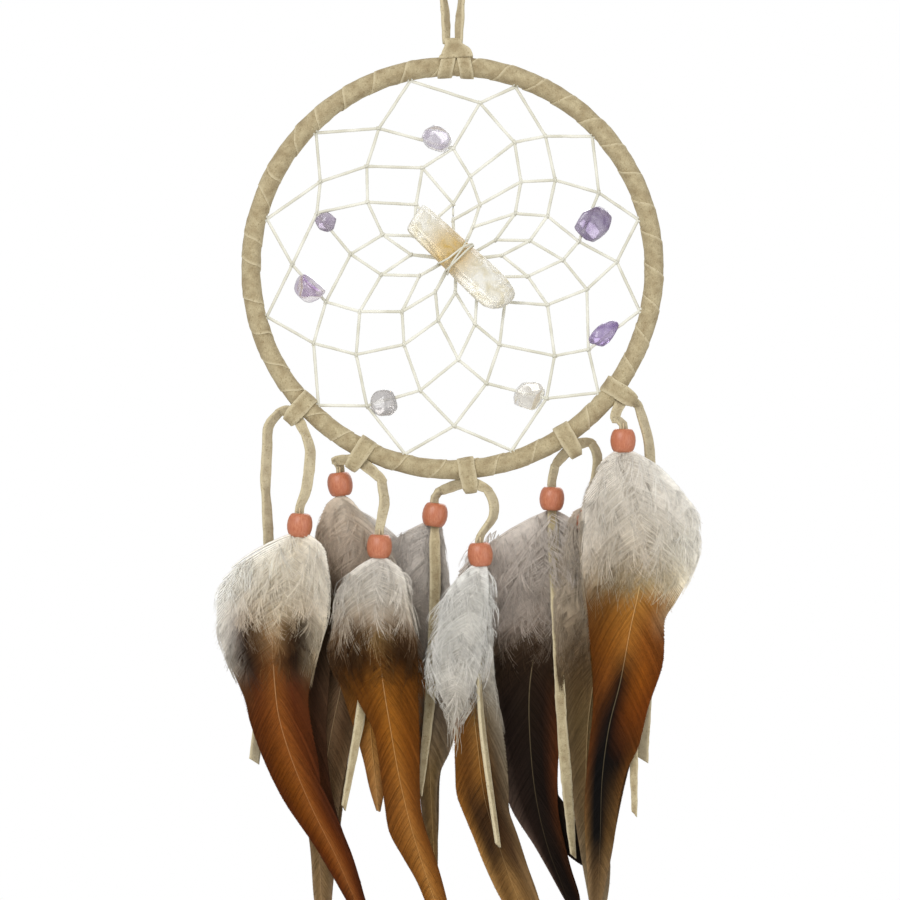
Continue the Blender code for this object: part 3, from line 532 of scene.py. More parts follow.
KNOT_DEG = {1: -137.9, 2: -115.8, 3: -86.2, 4: -55.7, 5: -37.0}
KNOT_LEAN = {1: 1.0, 2: -1.2, 3: 0.9, 4: -0.8, 5: 0.7}  # the lobe's shift along the hoop, in degrees
SHOULDER_RADIUS = 66.6
LOBE_REACH = 7.2  # from the tube's middle to the end of the lobe
BAND_WIDTH, BAND_THICK = 5.3, 0.95
SHOULDER_TOWARD = 0.6
TAPER = 0.3  # how much narrower the lobe's end and the shoulder's two ends are
for number, degrees in KNOT_DEG.items():
    around = TUBE_RADIUS + 0.55
    outline = [(-around, 0.0), (-around * 0.72, around * 0.72), (0.0, around + 0.1),
               (around * 0.75, around * 0.97),
               (LOBE_REACH * 0.75, 2.7), (LOBE_REACH * 0.97, 1.7), (LOBE_REACH, 0.2),
               (LOBE_REACH * 0.95, -1.3),
               (LOBE_REACH * 0.7, -2.2), (around * 0.7, -around * 0.95), (0.0, -around - 0.1),
               (-around * 0.72, -around * 0.72), (-around, 0.0)]
    shape = smooth([Vector((a, b, 0)) for a, b in outline], 0.6)[:-1]
    lean = KNOT_LEAN[number]
    band_line = [tube_point(degrees + lean * (p.x + around) / (LOBE_REACH + around), p.x, p.y) for p in shape]
    band_width = [BAND_WIDTH * (1.0 - TAPER * (max(0.0, p.x) / LOBE_REACH) ** 4) for p in shape]
    band = suede_strip("band", band_line, band_width, [tangent(degrees + 6 * lean)] * len(shape),
                       thick=BAND_THICK, closed=True)
    left, right = [[p for p, _ in lace_line(f"lace_{number}_{side}")] for side in ("left", "right")]
    shoulder_line = smooth([left[1], left[0], tube_point(degrees, SHOULDER_RADIUS - HOOP_RADIUS,
                                                         SHOULDER_TOWARD),
                            right[0], right[1]], 0.5 * MM)
    last = len(shoulder_line) - 1
    shoulder_across = []
    for i, here in enumerate(shoulder_line):
        along = shoulder_line[min(i + 1, last)] - shoulder_line[max(i - 1, 0)]
        face_on = along.cross(Vector((0, 1, 0))).normalized()
        side, lace_side = (-1, "left") if i < last / 2 else (1, "right")
        turn = turn_at(LACE_TURNS[f"lace_{number}_{lace_side}"], LACES[f"lace_{number}_{lace_side}"][3][0][1])
        hanging = Vector((math.cos(turn), math.sin(turn), 0)) * side
        shoulder_across.append(face_on.lerp(hanging, abs(2 * i / last - 1) ** 4))
    shoulder_width = [LACE_WIDTH * (1.0 - TAPER * abs(2 * i / last - 1) ** 3) for i in range(last + 1)]
    shoulder = suede_strip("shoulder", shoulder_line, shoulder_width, shoulder_across, thick=BAND_THICK,
                           bleached=[LACE_BLEACHED / 2] * (last + 1))
    knot = merge_pieces(f"lark_knot_{number}", [band, shoulder])
    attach(knot, "hoop")
    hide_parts(f"knot_{number}")


# ---------------------------------------------------------------------------------------------------
# The hoop: a steel wire ring, out of sight inside a long suede strip wound round it on the slant.
# Each turn laps over the last, so its pale cut edge stands a little proud, over a painted shade line.
# ---------------------------------------------------------------------------------------------------

WRAP_TURNS = 38
STRIP_LAP = 1.45  # strip width over the distance between turns
STRIP_STATIONS = [-0.5, -0.47, -0.42, -0.38, -0.35, -0.31, -0.22, -0.1, 0.03, 0.15, 0.27, 0.37, 0.43, 0.47,
                  0.49, 0.5]  # across the strip, close together at its edges and at its painted shade line
AROUND_STEPS = 30
WRAP_INSIDE = 2.42
WRAP_LIFT, WRAP_WRINKLE, WRAP_THICK = 0.3, 0.75, 0.35
WRAP_SLIP = 0.85  # how far a turn strays from its place, in turns
steel, steel_tree, steel_shader = new_material("drawn steel wire")
steel_spot = add_node(steel_tree, "ShaderNodeTexCoord")
steel_noise = add_node(steel_tree, "ShaderNodeTexNoise", {"Vector": steel_spot.outputs["Object"],
                                                          "Scale": 900.0})
steel_tone = add_node(steel_tree, "ShaderNodeValToRGB", {"Fac": steel_noise.outputs["Fac"]})
steel_tone.color_ramp.elements[0].color = linear("85868a")
steel_tone.color_ramp.elements[1].color = linear("b4b5b8")
steel_tree.links.new(steel_tone.outputs["Color"], steel_shader.inputs["Base Color"])
steel_shader.inputs["Metallic"].default_value = 1.0
steel_shader.inputs["Roughness"].default_value = 0.35
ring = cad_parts["hoop_ring"]
ring.data.materials.clear()
ring.data.materials.append(steel)


def tree_with(name, inputs):
    """An empty Geometry Nodes tree with named inputs, its input node, and each input's identifier."""
    tree = bpy.data.node_groups.new(name, "GeometryNodeTree")
    tree.interface.new_socket("Geometry", in_out="OUTPUT", socket_type="NodeSocketGeometry")
    names = {}
    for label, kind, value in inputs:
        made = tree.interface.new_socket(label, in_out="INPUT", socket_type=kind)
        if value is not None:
            made.default_value = value
        names[label] = made.identifier
    return tree, tree.nodes.new("NodeGroupInput"), names


def grown(piece, name, tree, names, values):
    """What a Geometry Nodes tree makes of a piece, with the inputs given, as a plain mesh in a new object."""
    step = piece.modifiers.new(name, "NODES")
    step.node_group = tree
    for label, value in values.items():
        step[names[label]] = value
    bpy.context.view_layer.update()
    mesh = bpy.data.meshes.new_from_object(piece.evaluated_get(bpy.context.evaluated_depsgraph_get()))
    mesh.name = name
    bpy.data.objects.remove(piece)
    made = bpy.data.objects.new(name, mesh)
    bpy.context.scene.collection.objects.link(made)
    return made


def wound_strip_tree():
    """A strip wound round a ring: each point's place across and along the strip gives its two angles."""
    tree, given, names = tree_with("wound strip", [
        ("Geometry", "NodeSocketGeometry", None), ("Ring Radius", "NodeSocketFloat", 0.06),
        ("Tube Radius", "NodeSocketFloat", 0.002), ("Turns", "NodeSocketFloat", 38.0),
        ("Lap", "NodeSocketFloat", 1.45), ("Slip", "NodeSocketFloat", 0.85),
        ("Lift", "NodeSocketFloat", 0.0003),
        ("Wrinkle", "NodeSocketFloat", 0.00075), ("Drop", "NodeSocketFloat", 0.097),
        ("Material", "NodeSocketMaterial", None)])
    here = add_node(tree, "GeometryNodeInputPosition")
    parts = add_node(tree, "ShaderNodeSeparateXYZ", {0: here.outputs[0]})

    along, across = parts.outputs["X"], parts.outputs["Y"]  # 0 to 1 along the winding, -0.5 to 0.5 across
    turn_count = add_node(tree, "ShaderNodeMath", {0: along, 1: given.outputs["Turns"]},
                          operation="MULTIPLY").outputs[0]
    tube_angle = add_node(tree, "ShaderNodeMath", {0: turn_count, 1: 2 * math.pi},
                          operation="MULTIPLY").outputs[0]
    slip_place = add_node(tree, "ShaderNodeMath", {0: turn_count, 1: 0.9}, operation="MULTIPLY").outputs[0]
    uneven = add_node(tree, "ShaderNodeTexNoise", {"W": slip_place, "Scale": 1.0}, noise_dimensions="1D")
    either_way = add_node(tree, "ShaderNodeMath", {0: uneven.outputs["Fac"], 1: 0.5},
                          operation="SUBTRACT").outputs[0]
    free_slip = add_node(tree, "ShaderNodeMath", {0: either_way, 1: given.outputs["Slip"]},
                         operation="MULTIPLY").outputs[0]
    half_circle = add_node(tree, "ShaderNodeMath", {0: along, 1: math.pi}, operation="MULTIPLY").outputs[0]
    held_at_ends = add_node(tree, "ShaderNodeMath", {0: half_circle}, operation="SINE").outputs[0]
    slip = add_node(tree, "ShaderNodeMath", {0: free_slip, 1: held_at_ends}, operation="MULTIPLY").outputs[0]
    width = add_node(tree, "ShaderNodeMath", {0: across, 1: given.outputs["Lap"]},
                     operation="MULTIPLY").outputs[0]
    shift = add_node(tree, "ShaderNodeMath", {0: width, 1: slip}, operation="ADD").outputs[0]
    share = add_node(tree, "ShaderNodeMath", {0: shift, 1: given.outputs["Turns"]},
                     operation="DIVIDE").outputs[0]
    round_ring = add_node(tree, "ShaderNodeMath", {0: along, 1: share}, operation="ADD").outputs[0]
    ring_angle = add_node(tree, "ShaderNodeMath", {0: round_ring, 1: 2 * math.pi},
                          operation="MULTIPLY").outputs[0]
    ring_sine = add_node(tree, "ShaderNodeMath", {0: ring_angle}, operation="SINE").outputs[0]
    ring_cosine = add_node(tree, "ShaderNodeMath", {0: ring_angle}, operation="COSINE").outputs[0]
    tube_sine = add_node(tree, "ShaderNodeMath", {0: tube_angle}, operation="SINE").outputs[0]
    tube_cosine = add_node(tree, "ShaderNodeMath", {0: tube_angle}, operation="COSINE").outputs[0]
    fold_place = add_node(tree, "ShaderNodeMath", {0: ring_angle, 1: 14.0}, operation="MULTIPLY").outputs[0]
    spread = add_node(tree, "ShaderNodeCombineXYZ", {0: fold_place, 1: tube_sine, 2: tube_cosine})
    folds = add_node(tree, "ShaderNodeTexNoise", {"Vector": spread.outputs[0], "Scale": 1.9, "Detail": 5.0})
    in_or_out = add_node(tree, "ShaderNodeMath", {0: folds.outputs["Fac"], 1: 0.5},
                         operation="SUBTRACT").outputs[0]
    fold = add_node(tree, "ShaderNodeMath", {0: in_or_out, 1: given.outputs["Wrinkle"]},
                    operation="MULTIPLY").outputs[0]
    from_under = add_node(tree, "ShaderNodeMath", {0: across, 1: 0.5}, operation="ADD").outputs[0]
    rise = add_node(tree, "ShaderNodeMath", {0: from_under, 1: given.outputs["Lift"]},
                    operation="MULTIPLY").outputs[0]
    raised = add_node(tree, "ShaderNodeMath", {0: given.outputs["Tube Radius"], 1: rise},
                      operation="ADD").outputs[0]
    radius = add_node(tree, "ShaderNodeMath", {0: raised, 1: fold}, operation="ADD").outputs[0]
    outward = add_node(tree, "ShaderNodeMath", {0: radius, 1: tube_cosine}, operation="MULTIPLY").outputs[0]
    reach = add_node(tree, "ShaderNodeMath", {0: given.outputs["Ring Radius"], 1: outward},
                     operation="ADD").outputs[0]
    right = add_node(tree, "ShaderNodeMath", {0: reach, 1: ring_cosine}, operation="MULTIPLY").outputs[0]
    depth = add_node(tree, "ShaderNodeMath", {0: radius, 1: tube_sine}, operation="MULTIPLY").outputs[0]
    backward = add_node(tree, "ShaderNodeMath", {0: depth, 1: -1.0}, operation="MULTIPLY").outputs[0]
    height = add_node(tree, "ShaderNodeMath", {0: reach, 1: ring_sine}, operation="MULTIPLY").outputs[0]
    up = add_node(tree, "ShaderNodeMath", {0: height, 1: given.outputs["Drop"]},
                  operation="SUBTRACT").outputs[0]
    spot = add_node(tree, "ShaderNodeCombineXYZ", {0: right, 1: backward, 2: up})
    cut = add_node(tree, "ShaderNodeMapRange", {
        "Value": across, "From Min": 0.44, "From Max": 0.485, "To Min": 0.0, "To Max": 0.9})
    marked = add_node(tree, "GeometryNodeStoreNamedAttribute", {
        "Geometry": given.outputs["Geometry"], "Name": "cut_edge", "Value": cut.outputs["Result"]},
        data_type="FLOAT", domain="POINT")
    # Painted shade: a dark line on each turn, just where the next turn's edge lies over it.
    lap_share = add_node(tree, "ShaderNodeMath", {0: 1.0, 1: given.outputs["Lap"]},
                         operation="DIVIDE").outputs[0]
    next_edge = add_node(tree, "ShaderNodeMath", {0: lap_share, 1: 0.5}, operation="SUBTRACT").outputs[0]
    from_edge = add_node(tree, "ShaderNodeMath", {0: across, 1: next_edge}, operation="ADD").outputs[0]
    below = add_node(tree, "ShaderNodeMath", {0: from_edge}, operation="ABSOLUTE").outputs[0]
    line = add_node(tree, "ShaderNodeMapRange", {
        "Value": below, "From Min": 0.0, "From Max": 0.035, "To Min": 0.55, "To Max": 0.0})
    lap_shaded = add_node(tree, "GeometryNodeStoreNamedAttribute", {
        "Geometry": marked.outputs["Geometry"], "Name": "lap_shade", "Value": line.outputs["Result"]},
        data_type="FLOAT", domain="POINT")
    wound = add_node(tree, "GeometryNodeSetPosition", {
        "Geometry": lap_shaded.outputs["Geometry"], "Position": spot.outputs[0]})
    real = add_node(tree, "GeometryNodeRealizeInstances", {0: wound.outputs[0]})
    finish = add_node(tree, "GeometryNodeSetMaterial", {0: real.outputs[0],
                                                        "Material": given.outputs["Material"]})
    add_node(tree, "NodeGroupOutput", {0: finish.outputs[0]})
    return tree, names


def strip_grid(along_steps):
    """A flat grid from 0 to 1 along X, with the strip's stations across Y."""
    points = [Vector((i / along_steps, s, 0)) for i in range(along_steps + 1) for s in STRIP_STATIONS]
    rim = len(STRIP_STATIONS)
    faces = [(i * rim + k, (i + 1) * rim + k, (i + 1) * rim + k + 1, i * rim + k + 1)
             for i in range(along_steps) for k in range(rim - 1)]
    return new_piece("strip_grid", points, faces, SUEDE)


wound_tree, wound_names = wound_strip_tree()
wrap = grown(strip_grid(WRAP_TURNS * AROUND_STEPS), "suede_wrap", wound_tree, wound_names, {
    "Ring Radius": HOOP_RADIUS * MM, "Tube Radius": WRAP_INSIDE * MM, "Turns": float(WRAP_TURNS),
    "Lap": STRIP_LAP, "Slip": WRAP_SLIP, "Lift": WRAP_LIFT * MM, "Wrinkle": WRAP_WRINKLE * MM,
    "Drop": HOOP_DROP * MM, "Material": SUEDE})
wrap_wall = wrap.modifiers.new("wall", "SOLIDIFY")
wrap_wall.thickness = WRAP_THICK * MM
wrap_wall.offset = -1.0
wrap.data.shade_smooth()
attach(wrap, "hoop")
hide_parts("hoop_wrap")


# ---------------------------------------------------------------------------------------------------
# The web: one flat thread of waxed sinew, hitched twelve times round the hoop, then row by row to
# itself, so every meeting point is a small hitch and every stretch between two is pulled straight.
# ---------------------------------------------------------------------------------------------------

THREAD, THREAD_THICK, THREAD_SIDES = 1.0, 0.65, 8
HITCH_TURNS, HITCH_STEPS, HITCH_LENGTH, HITCH_RADIUS = 1.5, 10, 0.9, 0.62
TIE_STEPS, TIE_APART = 20, 0.42  # of the two turns of a tie, in degrees round the hoop
HUB_TURNS, HUB_STEPS, HUB_RADIUS = 3, 16, 1.1
TIE_DEG = [70.9, 43.3, 14.6, -12.9, -40.5, -72.0, -104.3, -134.3, -165.3, 165.2, 135.3, 102.7]
WEB_ROWS = [
    [(28.8, 40.8), (45.3, 23.3), (50.9, 1.9), (42.1, -25.2), (29.1, -40.4), (0.5, -48.9), (-26.5, -42.7),
     (-43.0, -23.3), (-49.6, 1.0), (-40.9, 26.7), (-22.8, 43.2), (8.5, 51.1)],
    [(31.8, 27.2), (39.1, 8.2), (41.6, -6.6), (31.6, -27.2), (10.5, -35.7), (-10.0, -37.9), (-29.8, -26.8),
     (-39.2, -10.5), (-42.0, 17.0), (-26.5, 31.5), (0.2, 37.0), (19.2, 38.9)],
    [(29.4, 16.1), (34.2, 2.5), (29.4, -11.4), (14.6, -23.7), (1.8, -28.3), (-15.0, -23.7), (-28.7, -13.5),
     (-31.5, 4.3), (-26.3, 20.4), (-9.3, 31.0), (5.5, 28.3), (21.2, 26.7)],
    [(24.0, 8.5), (23.3, -2.6), (16.3, -10.5), (7.0, -17.4), (-4.4, -16.1), (-15.6, -13.5), (-22.0, -2.1),
     (-21.6, 10.3), (-11.3, 19.6), (0.2, 19.9), (8.5, 19.6), (19.4, 16.9)],
    [(15.3, 3.9), (13.2, -2.8), (7.6, -7.1), (0.9, -7.6), (-5.3, -7.4), (-10.2, -2.4), (-12.8, 4.1),
     (-11.9, 9.9), (-6.3, 14.2), (0.2, 14.9), (6.3, 12.6), (13.4, 8.7)],
]
HUB = (0.8, 2.5)


def waxed_sinew():
    """Waxed sinew: cream, flat and a little glossy, with fibres along it and amber wax in places."""
    made, tree, shader = new_material("waxed sinew thread")
    spot = add_node(tree, "ShaderNodeTexCoord")
    wax = add_node(tree, "ShaderNodeTexNoise", {"Vector": spot.outputs["Object"], "Scale": 140.0,
                                                "Detail": 1.0})
    fibres = add_node(tree, "ShaderNodeTexNoise", {"Vector": spot.outputs["Object"], "Scale": 2600.0,
                                                   "Detail": 3.0})
    tone = add_node(tree, "ShaderNodeValToRGB", {"Fac": wax.outputs["Fac"]})
    tone.color_ramp.elements[0].position, tone.color_ramp.elements[0].color = 0.35, linear("cdcab9")
    tone.color_ramp.elements[1].position, tone.color_ramp.elements[1].color = 0.65, linear("e3e1d4")
    tree.links.new(tone.outputs["Color"], shader.inputs["Base Color"])
    shader.inputs["Roughness"].default_value = 0.5
    ribs = add_node(tree, "ShaderNodeBump", {"Height": fibres.outputs["Fac"], "Strength": 0.06,
                                             "Distance": 0.0001})
    tree.links.new(ribs.outputs[0], shader.inputs["Normal"])
    return made


SINEW = waxed_sinew()


def swept_tree(name, facing):
    """A thin closed section swept along every chain of edges, as wide at each point as its "breadth" says."""
    tree, given, names = tree_with(name, [
        ("Geometry", "NodeSocketGeometry", None), ("Width", "NodeSocketFloat", 0.001),
        ("Thickness", "NodeSocketFloat", 0.0005), ("Sides", "NodeSocketInt", 6),
        ("Material", "NodeSocketMaterial", None)])
    chains = add_node(tree, "GeometryNodeMeshToCurve", {0: given.outputs["Geometry"]})
    breadth = add_node(tree, "GeometryNodeInputNamedAttribute", {"Name": "breadth"}, data_type="FLOAT")
    sized = add_node(tree, "GeometryNodeSetCurveRadius", {"Curve": chains.outputs[0],
                                                          "Radius": breadth.outputs[0]})
    upright = add_node(tree, "GeometryNodeSetCurveNormal", {"Curve": sized.outputs[0]}, mode=facing)
    if facing == "FREE":
        upright.inputs["Normal"].default_value = (0, -1, 0)
    ring_curve = add_node(tree, "GeometryNodeCurvePrimitiveCircle", {
        "Resolution": given.outputs["Sides"], "Radius": 0.5}, mode="RADIUS")
    flat = add_node(tree, "ShaderNodeCombineXYZ", {
        0: given.outputs["Thickness"], 1: given.outputs["Width"], 2: 1.0})
    section = add_node(tree, "GeometryNodeTransform", {"Geometry": ring_curve.outputs[0],
                                                       "Scale": flat.outputs[0]})
    scale = add_node(tree, "GeometryNodeInputRadius")
    swept = add_node(tree, "GeometryNodeCurveToMesh", {
        "Curve": upright.outputs[0], "Profile Curve": section.outputs[0], "Scale": scale.outputs[0],
        "Fill Caps": True})
    soft = add_node(tree, "GeometryNodeSetShadeSmooth", {"Geometry": swept.outputs[0]})
    real = add_node(tree, "GeometryNodeRealizeInstances", {0: soft.outputs[0]})
    finish = add_node(tree, "GeometryNodeSetMaterial", {0: real.outputs[0],
                                                        "Material": given.outputs["Material"]})
    add_node(tree, "NodeGroupOutput", {0: finish.outputs[0]})
    return tree, names


SWEPT_THREAD = swept_tree("thread", "Z_UP")
SWEPT_BARB = swept_tree("barb", "FREE")


def swept(name, chains, breadths, width, thickness, sides, finish, tints=None):
    """A piece of many thin closed strands: one for each chain of points, in metres, with its breadths."""
    starts = np.cumsum([0, *(len(c) for c in chains)])
    mesh = bpy.data.meshes.new(name + "_guide")
    edges = np.concatenate([np.stack([np.arange(a, b - 1), np.arange(a + 1, b)], 1)
                            for a, b in zip(starts, starts[1:])])
    mesh.vertices.add(int(starts[-1]))
    mesh.vertices.foreach_set("co", np.concatenate([np.asarray(c, float).reshape(-1, 3)
                                                    for c in chains]).ravel())
    mesh.edges.add(len(edges))
    mesh.edges.foreach_set("vertices", edges.ravel())
    mesh.attributes.new("breadth", "FLOAT", "POINT").data.foreach_set(
        "value", np.concatenate([np.asarray(b, float) for b in breadths]))
    if tints is not None:
        mesh.attributes.new("tint", "FLOAT_COLOR", "POINT").data.foreach_set(
            "color", np.concatenate([np.asarray(t, float).reshape(-1, 4) for t in tints]).ravel())
    guide = bpy.data.objects.new(name + "_guide", mesh)
    bpy.context.scene.collection.objects.link(guide)
    return grown(guide, name, *(SWEPT_THREAD if tints is None else SWEPT_BARB), {
        "Width": width, "Thickness": thickness, "Sides": sides, "Material": finish})


def stretched(a, b, step=1.6, wander=0.09, seed=0):
    """A pulled thread between two points in millimetres, not quite straight: its points and its breadths."""
    count = max(2, round((b - a).length / step))
    points, sizes = [], []
    for k in range(count + 1):
        t = k / count
        here = a.lerp(b, t)
        off = Vector((noise.noise((here.x * 0.35, seed, 1.0)), noise.noise((here.z * 0.35, seed, 5.0)),
                      noise.noise((here.x * 0.3 + here.z * 0.3, seed, 9.0)))) * wander * math.sin(math.pi * t)
        points.append((here + off) * MM)
        sizes.append(0.95 + 0.14 * noise.noise((here.x * 0.5, here.z * 0.5, seed)))
    return points, sizes


def flat_point(place, depth=0.0):
    return Vector((place[0], depth, place[1] - HOOP_DROP))


TIE_REACH = HOOP_RADIUS - TUBE_RADIUS - 0.35  # just proud of the suede
web_nodes = [[flat_point((TIE_REACH * math.cos(math.radians(a)), TIE_REACH * math.sin(math.radians(a))))
              for a in TIE_DEG]]
web_nodes += [[flat_point(p) for p in row] for row in WEB_ROWS]
web_chains, web_breadths = [], []


def add_thread(points, sizes):
    web_chains.append(points)
    web_breadths.append(sizes)


TIE_COUNT = len(TIE_DEG)
for row in range(len(web_nodes) - 1):
    for k in range(TIE_COUNT):
        for end in (k, (k + 1) % TIE_COUNT):
            add_thread(*stretched(web_nodes[row][end], web_nodes[row + 1][k], seed=row * 31 + k))
for k, node in enumerate(web_nodes[-1]):
    hub_turn = 2 * math.pi * k / TIE_COUNT
    rim_point = flat_point((HUB[0] + HUB_RADIUS * math.cos(hub_turn),
                            HUB[1] + HUB_RADIUS * math.sin(hub_turn)))
    add_thread(*stretched(node, rim_point, seed=400 + k))
    add_thread(*stretched(web_nodes[-1][(k + 1) % TIE_COUNT], rim_point, seed=420 + k))
for row, nodes in enumerate(web_nodes[1:], 1):
    for k, node in enumerate(nodes):
        toward = (node - web_nodes[row - 1][k]).normalized()
        side = Vector((-toward.z, 0, toward.x))
        loops = []
        for j in range(HITCH_STEPS + 1):
            turn = 2 * math.pi * HITCH_TURNS * j / HITCH_STEPS
            loops.append((node + side * (j / HITCH_STEPS - 0.5) * HITCH_LENGTH
                          + (toward * math.cos(turn) + Vector((0, math.sin(turn), 0))) * HITCH_RADIUS) * MM)
        add_thread(loops, [0.72] * len(loops))
for degrees in TIE_DEG:
    for strand in (-TIE_APART, TIE_APART):
        wound = []
        for j in range(TIE_STEPS + 1):
            turn = 2 * math.pi * j / TIE_STEPS
            reach = TUBE_RADIUS - 0.6 + 0.95 * max(0.0, -math.cos(turn)) ** 4  # proud only inside the hoop
            wound.append(tube_point(degrees + strand * (1.4 - abs(2 * j / TIE_STEPS - 1)),
                                    reach * math.cos(turn), reach * math.sin(turn)))
        add_thread(wound, [0.85] * len(wound))
for k in range(HUB_TURNS):
    loops = []
    hub_middle = flat_point(HUB, 0.3 * (k - 1))
    for j in range(HUB_STEPS + 1):
        turn = 2 * math.pi * j / HUB_STEPS
        loops.append((hub_middle + Vector((math.cos(turn), 0, math.sin(turn))) * (HUB_RADIUS + 0.1 * k)) * MM)
    add_thread(loops, [0.8] * len(loops))
add_thread(*stretched(flat_point((19.5, 56.0)), flat_point((8.5, 51.1)), seed=71))
web = swept("sinew_threads", web_chains, web_breadths, THREAD * MM, THREAD_THICK * MM, THREAD_SIDES, SINEW)
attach(web, "hoop")
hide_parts("sinew_web")


# ---------------------------------------------------------------------------------------------------
# The crystal: a rough citrine point, six-sided, milky with a golden zone near its middle, snapped
# flat at one end and worn round at the other. Three turns of sinew hold it to the front of the web.
# ---------------------------------------------------------------------------------------------------

CRYSTAL_START, CRYSTAL_DEG, CRYSTAL_DEPTH = (-11.6, 15.5), -43.5, 5.8
GOLDEN_ALONG = 15.5
CRYSTAL_PROFILE = [(0.0, 3.9), (0.4, 4.7), (1.6, 5.05), (6.0, 5.15), (12.0, 5.3), (18.0, 5.4), (24.0, 5.7),
                   (30.0, 5.95), (34.5, 5.6), (37.0, 4.7), (38.7, 3.3), (39.5, 1.5)]
TIE_ALONG = 17.9
crystal_turn = math.radians(CRYSTAL_DEG)
CRYSTAL_ALONG = Vector((math.cos(crystal_turn), 0, math.sin(crystal_turn)))
CRYSTAL_ACROSS = Vector((-math.sin(crystal_turn), 0, math.cos(crystal_turn)))
CRYSTAL_FROM = flat_point(CRYSTAL_START, -CRYSTAL_DEPTH)


def citrine():
    """Citrine: clear quartz clouded with veils, honey coloured where the tie crosses it, worn to satin."""
    made, tree, shader = new_material("milky citrine")
    spot = add_node(tree, "ShaderNodeTexCoord")
    veils = add_node(tree, "ShaderNodeTexNoise", {
        "Vector": spot.outputs["Object"], "Scale": 240.0, "Detail": 6.0, "Distortion": 1.2})
    golden_spot = (CRYSTAL_FROM + CRYSTAL_ALONG * GOLDEN_ALONG) * MM
    centred = add_node(tree, "ShaderNodeVectorMath", {0: spot.outputs["Object"], 1: tuple(golden_spot)},
                       operation="SUBTRACT")
    far = add_node(tree, "ShaderNodeVectorMath", {0: centred.outputs[0]}, operation="LENGTH")
    honey = add_node(tree, "ShaderNodeMapRange", {
        "Value": far.outputs["Value"], "From Min": 0.002, "From Max": 0.012, "To Min": 1.0, "To Max": 0.0},
        interpolation_type="SMOOTHSTEP")
    patchy = add_node(tree, "ShaderNodeMath", {
        0: honey.outputs["Result"], 1: veils.outputs["Fac"]}, operation="MULTIPLY")
    strong = add_node(tree, "ShaderNodeMath", {0: patchy.outputs[0], 1: 1.8}, operation="MULTIPLY",
                      use_clamp=True)
    milk = add_node(tree, "ShaderNodeValToRGB", {"Fac": veils.outputs["Fac"]})
    milk.color_ramp.elements[0].position, milk.color_ramp.elements[0].color = 0.32, linear("e2d9bd")
    milk.color_ramp.elements[1].position, milk.color_ramp.elements[1].color = 0.62, linear("fbf9f1")
    body = add_node(tree, "ShaderNodeMix", {
        0: strong.outputs[0], 6: milk.outputs["Color"], 7: linear("d9b768")}, data_type="RGBA")
    tree.links.new(body.outputs[2], shader.inputs["Base Color"])
    shader.inputs["Roughness"].default_value = 0.22
    shader.inputs["IOR"].default_value = 1.54
    shader.inputs["Transmission Weight"].default_value = 0.4
    pits = add_node(tree, "ShaderNodeTexNoise", {"Vector": spot.outputs["Object"], "Scale": 1300.0,
                                                 "Detail": 3.0})
    worn = add_node(tree, "ShaderNodeBump", {"Height": pits.outputs["Fac"], "Strength": 0.25,
                                             "Distance": 0.0002})
    tree.links.new(worn.outputs[0], shader.inputs["Normal"])
    return made


CITRINE = citrine()
crystal_points, crystal_faces = [], []
CRYSTAL_CORNERS = [0, 52, 118, 180, 236, 303]  # its six edges, in degrees round it
CRYSTAL_SIDES, CRYSTAL_FLATTER = len(CRYSTAL_CORNERS), 0.85
SNAPPED_TO, ROUNDED_FROM = 2.0, 36.0  # along the crystal: its slanting broken end, and its worn tip
for along, radius in CRYSTAL_PROFILE:
    ridge = max(0.0, along - ROUNDED_FROM) * 0.35
    for corner in CRYSTAL_CORNERS:
        turn = math.radians(corner)
        wear = 1 + 0.06 * noise.noise((corner * 0.3, along * 0.16, 2.0))
        slope = -0.16 * math.cos(turn) * radius if along < SNAPPED_TO else 0.0
        across = radius * wear * math.cos(turn) + ridge
        toward = radius * CRYSTAL_FLATTER * wear * math.sin(turn)
        crystal_points.append((CRYSTAL_FROM + CRYSTAL_ALONG * (along + slope) + CRYSTAL_ACROSS * across
                               + Vector((0, -toward, 0))) * MM)
for i in range(len(CRYSTAL_PROFILE) - 1):
    for k in range(CRYSTAL_SIDES):
        a, b = i * CRYSTAL_SIDES + k, i * CRYSTAL_SIDES + (k + 1) % CRYSTAL_SIDES
        crystal_faces.append((a, b, b + CRYSTAL_SIDES, a + CRYSTAL_SIDES))
crystal_faces.append(tuple(reversed(range(CRYSTAL_SIDES))))
crystal_faces.append(tuple(range(len(crystal_points) - CRYSTAL_SIDES, len(crystal_points))))
crystal = new_piece("citrine_point", crystal_points, crystal_faces, CITRINE, smooth=False)
turn_faces_out(crystal.data)
crystal_edge = crystal.modifiers.new("worn_edges", "BEVEL")
crystal_edge.width = 0.35 * MM
crystal_edge.segments = 2
crystal_edge.limit_method = "ANGLE"
crystal_edge.angle_limit = math.radians(18)
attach(crystal, "hoop")
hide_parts("crystal_point")

BINDING = [(-0.9, 0.9), (0.1, -0.8), (1.0, 0.2)]  # each turn's shift along the crystal, and its slant
BINDING_STEPS, BINDING_WIDE, BINDING_DEEP, BINDING_SQUARE = 32, 6.0, 5.395, 0.55
BINDING_MIDDLE = -CRYSTAL_DEPTH / 2 - 2.3
tie_chains = []
for shift, lean in BINDING:
    loop_points = []
    for j in range(BINDING_STEPS + 1):
        turn = 2 * math.pi * j / BINDING_STEPS
        wide = BINDING_WIDE * math.copysign(abs(math.cos(turn)) ** BINDING_SQUARE, math.cos(turn))
        deep = BINDING_MIDDLE + BINDING_DEEP * math.copysign(abs(math.sin(turn)) ** BINDING_SQUARE,
                                                             -math.sin(turn))
        along = TIE_ALONG + shift + lean * math.cos(turn) * 2
        base = CRYSTAL_FROM + CRYSTAL_ALONG * along + CRYSTAL_ACROSS * wide
        loop_points.append(Vector((base.x, deep, base.z)) * MM)
    tie_chains.append(loop_points)
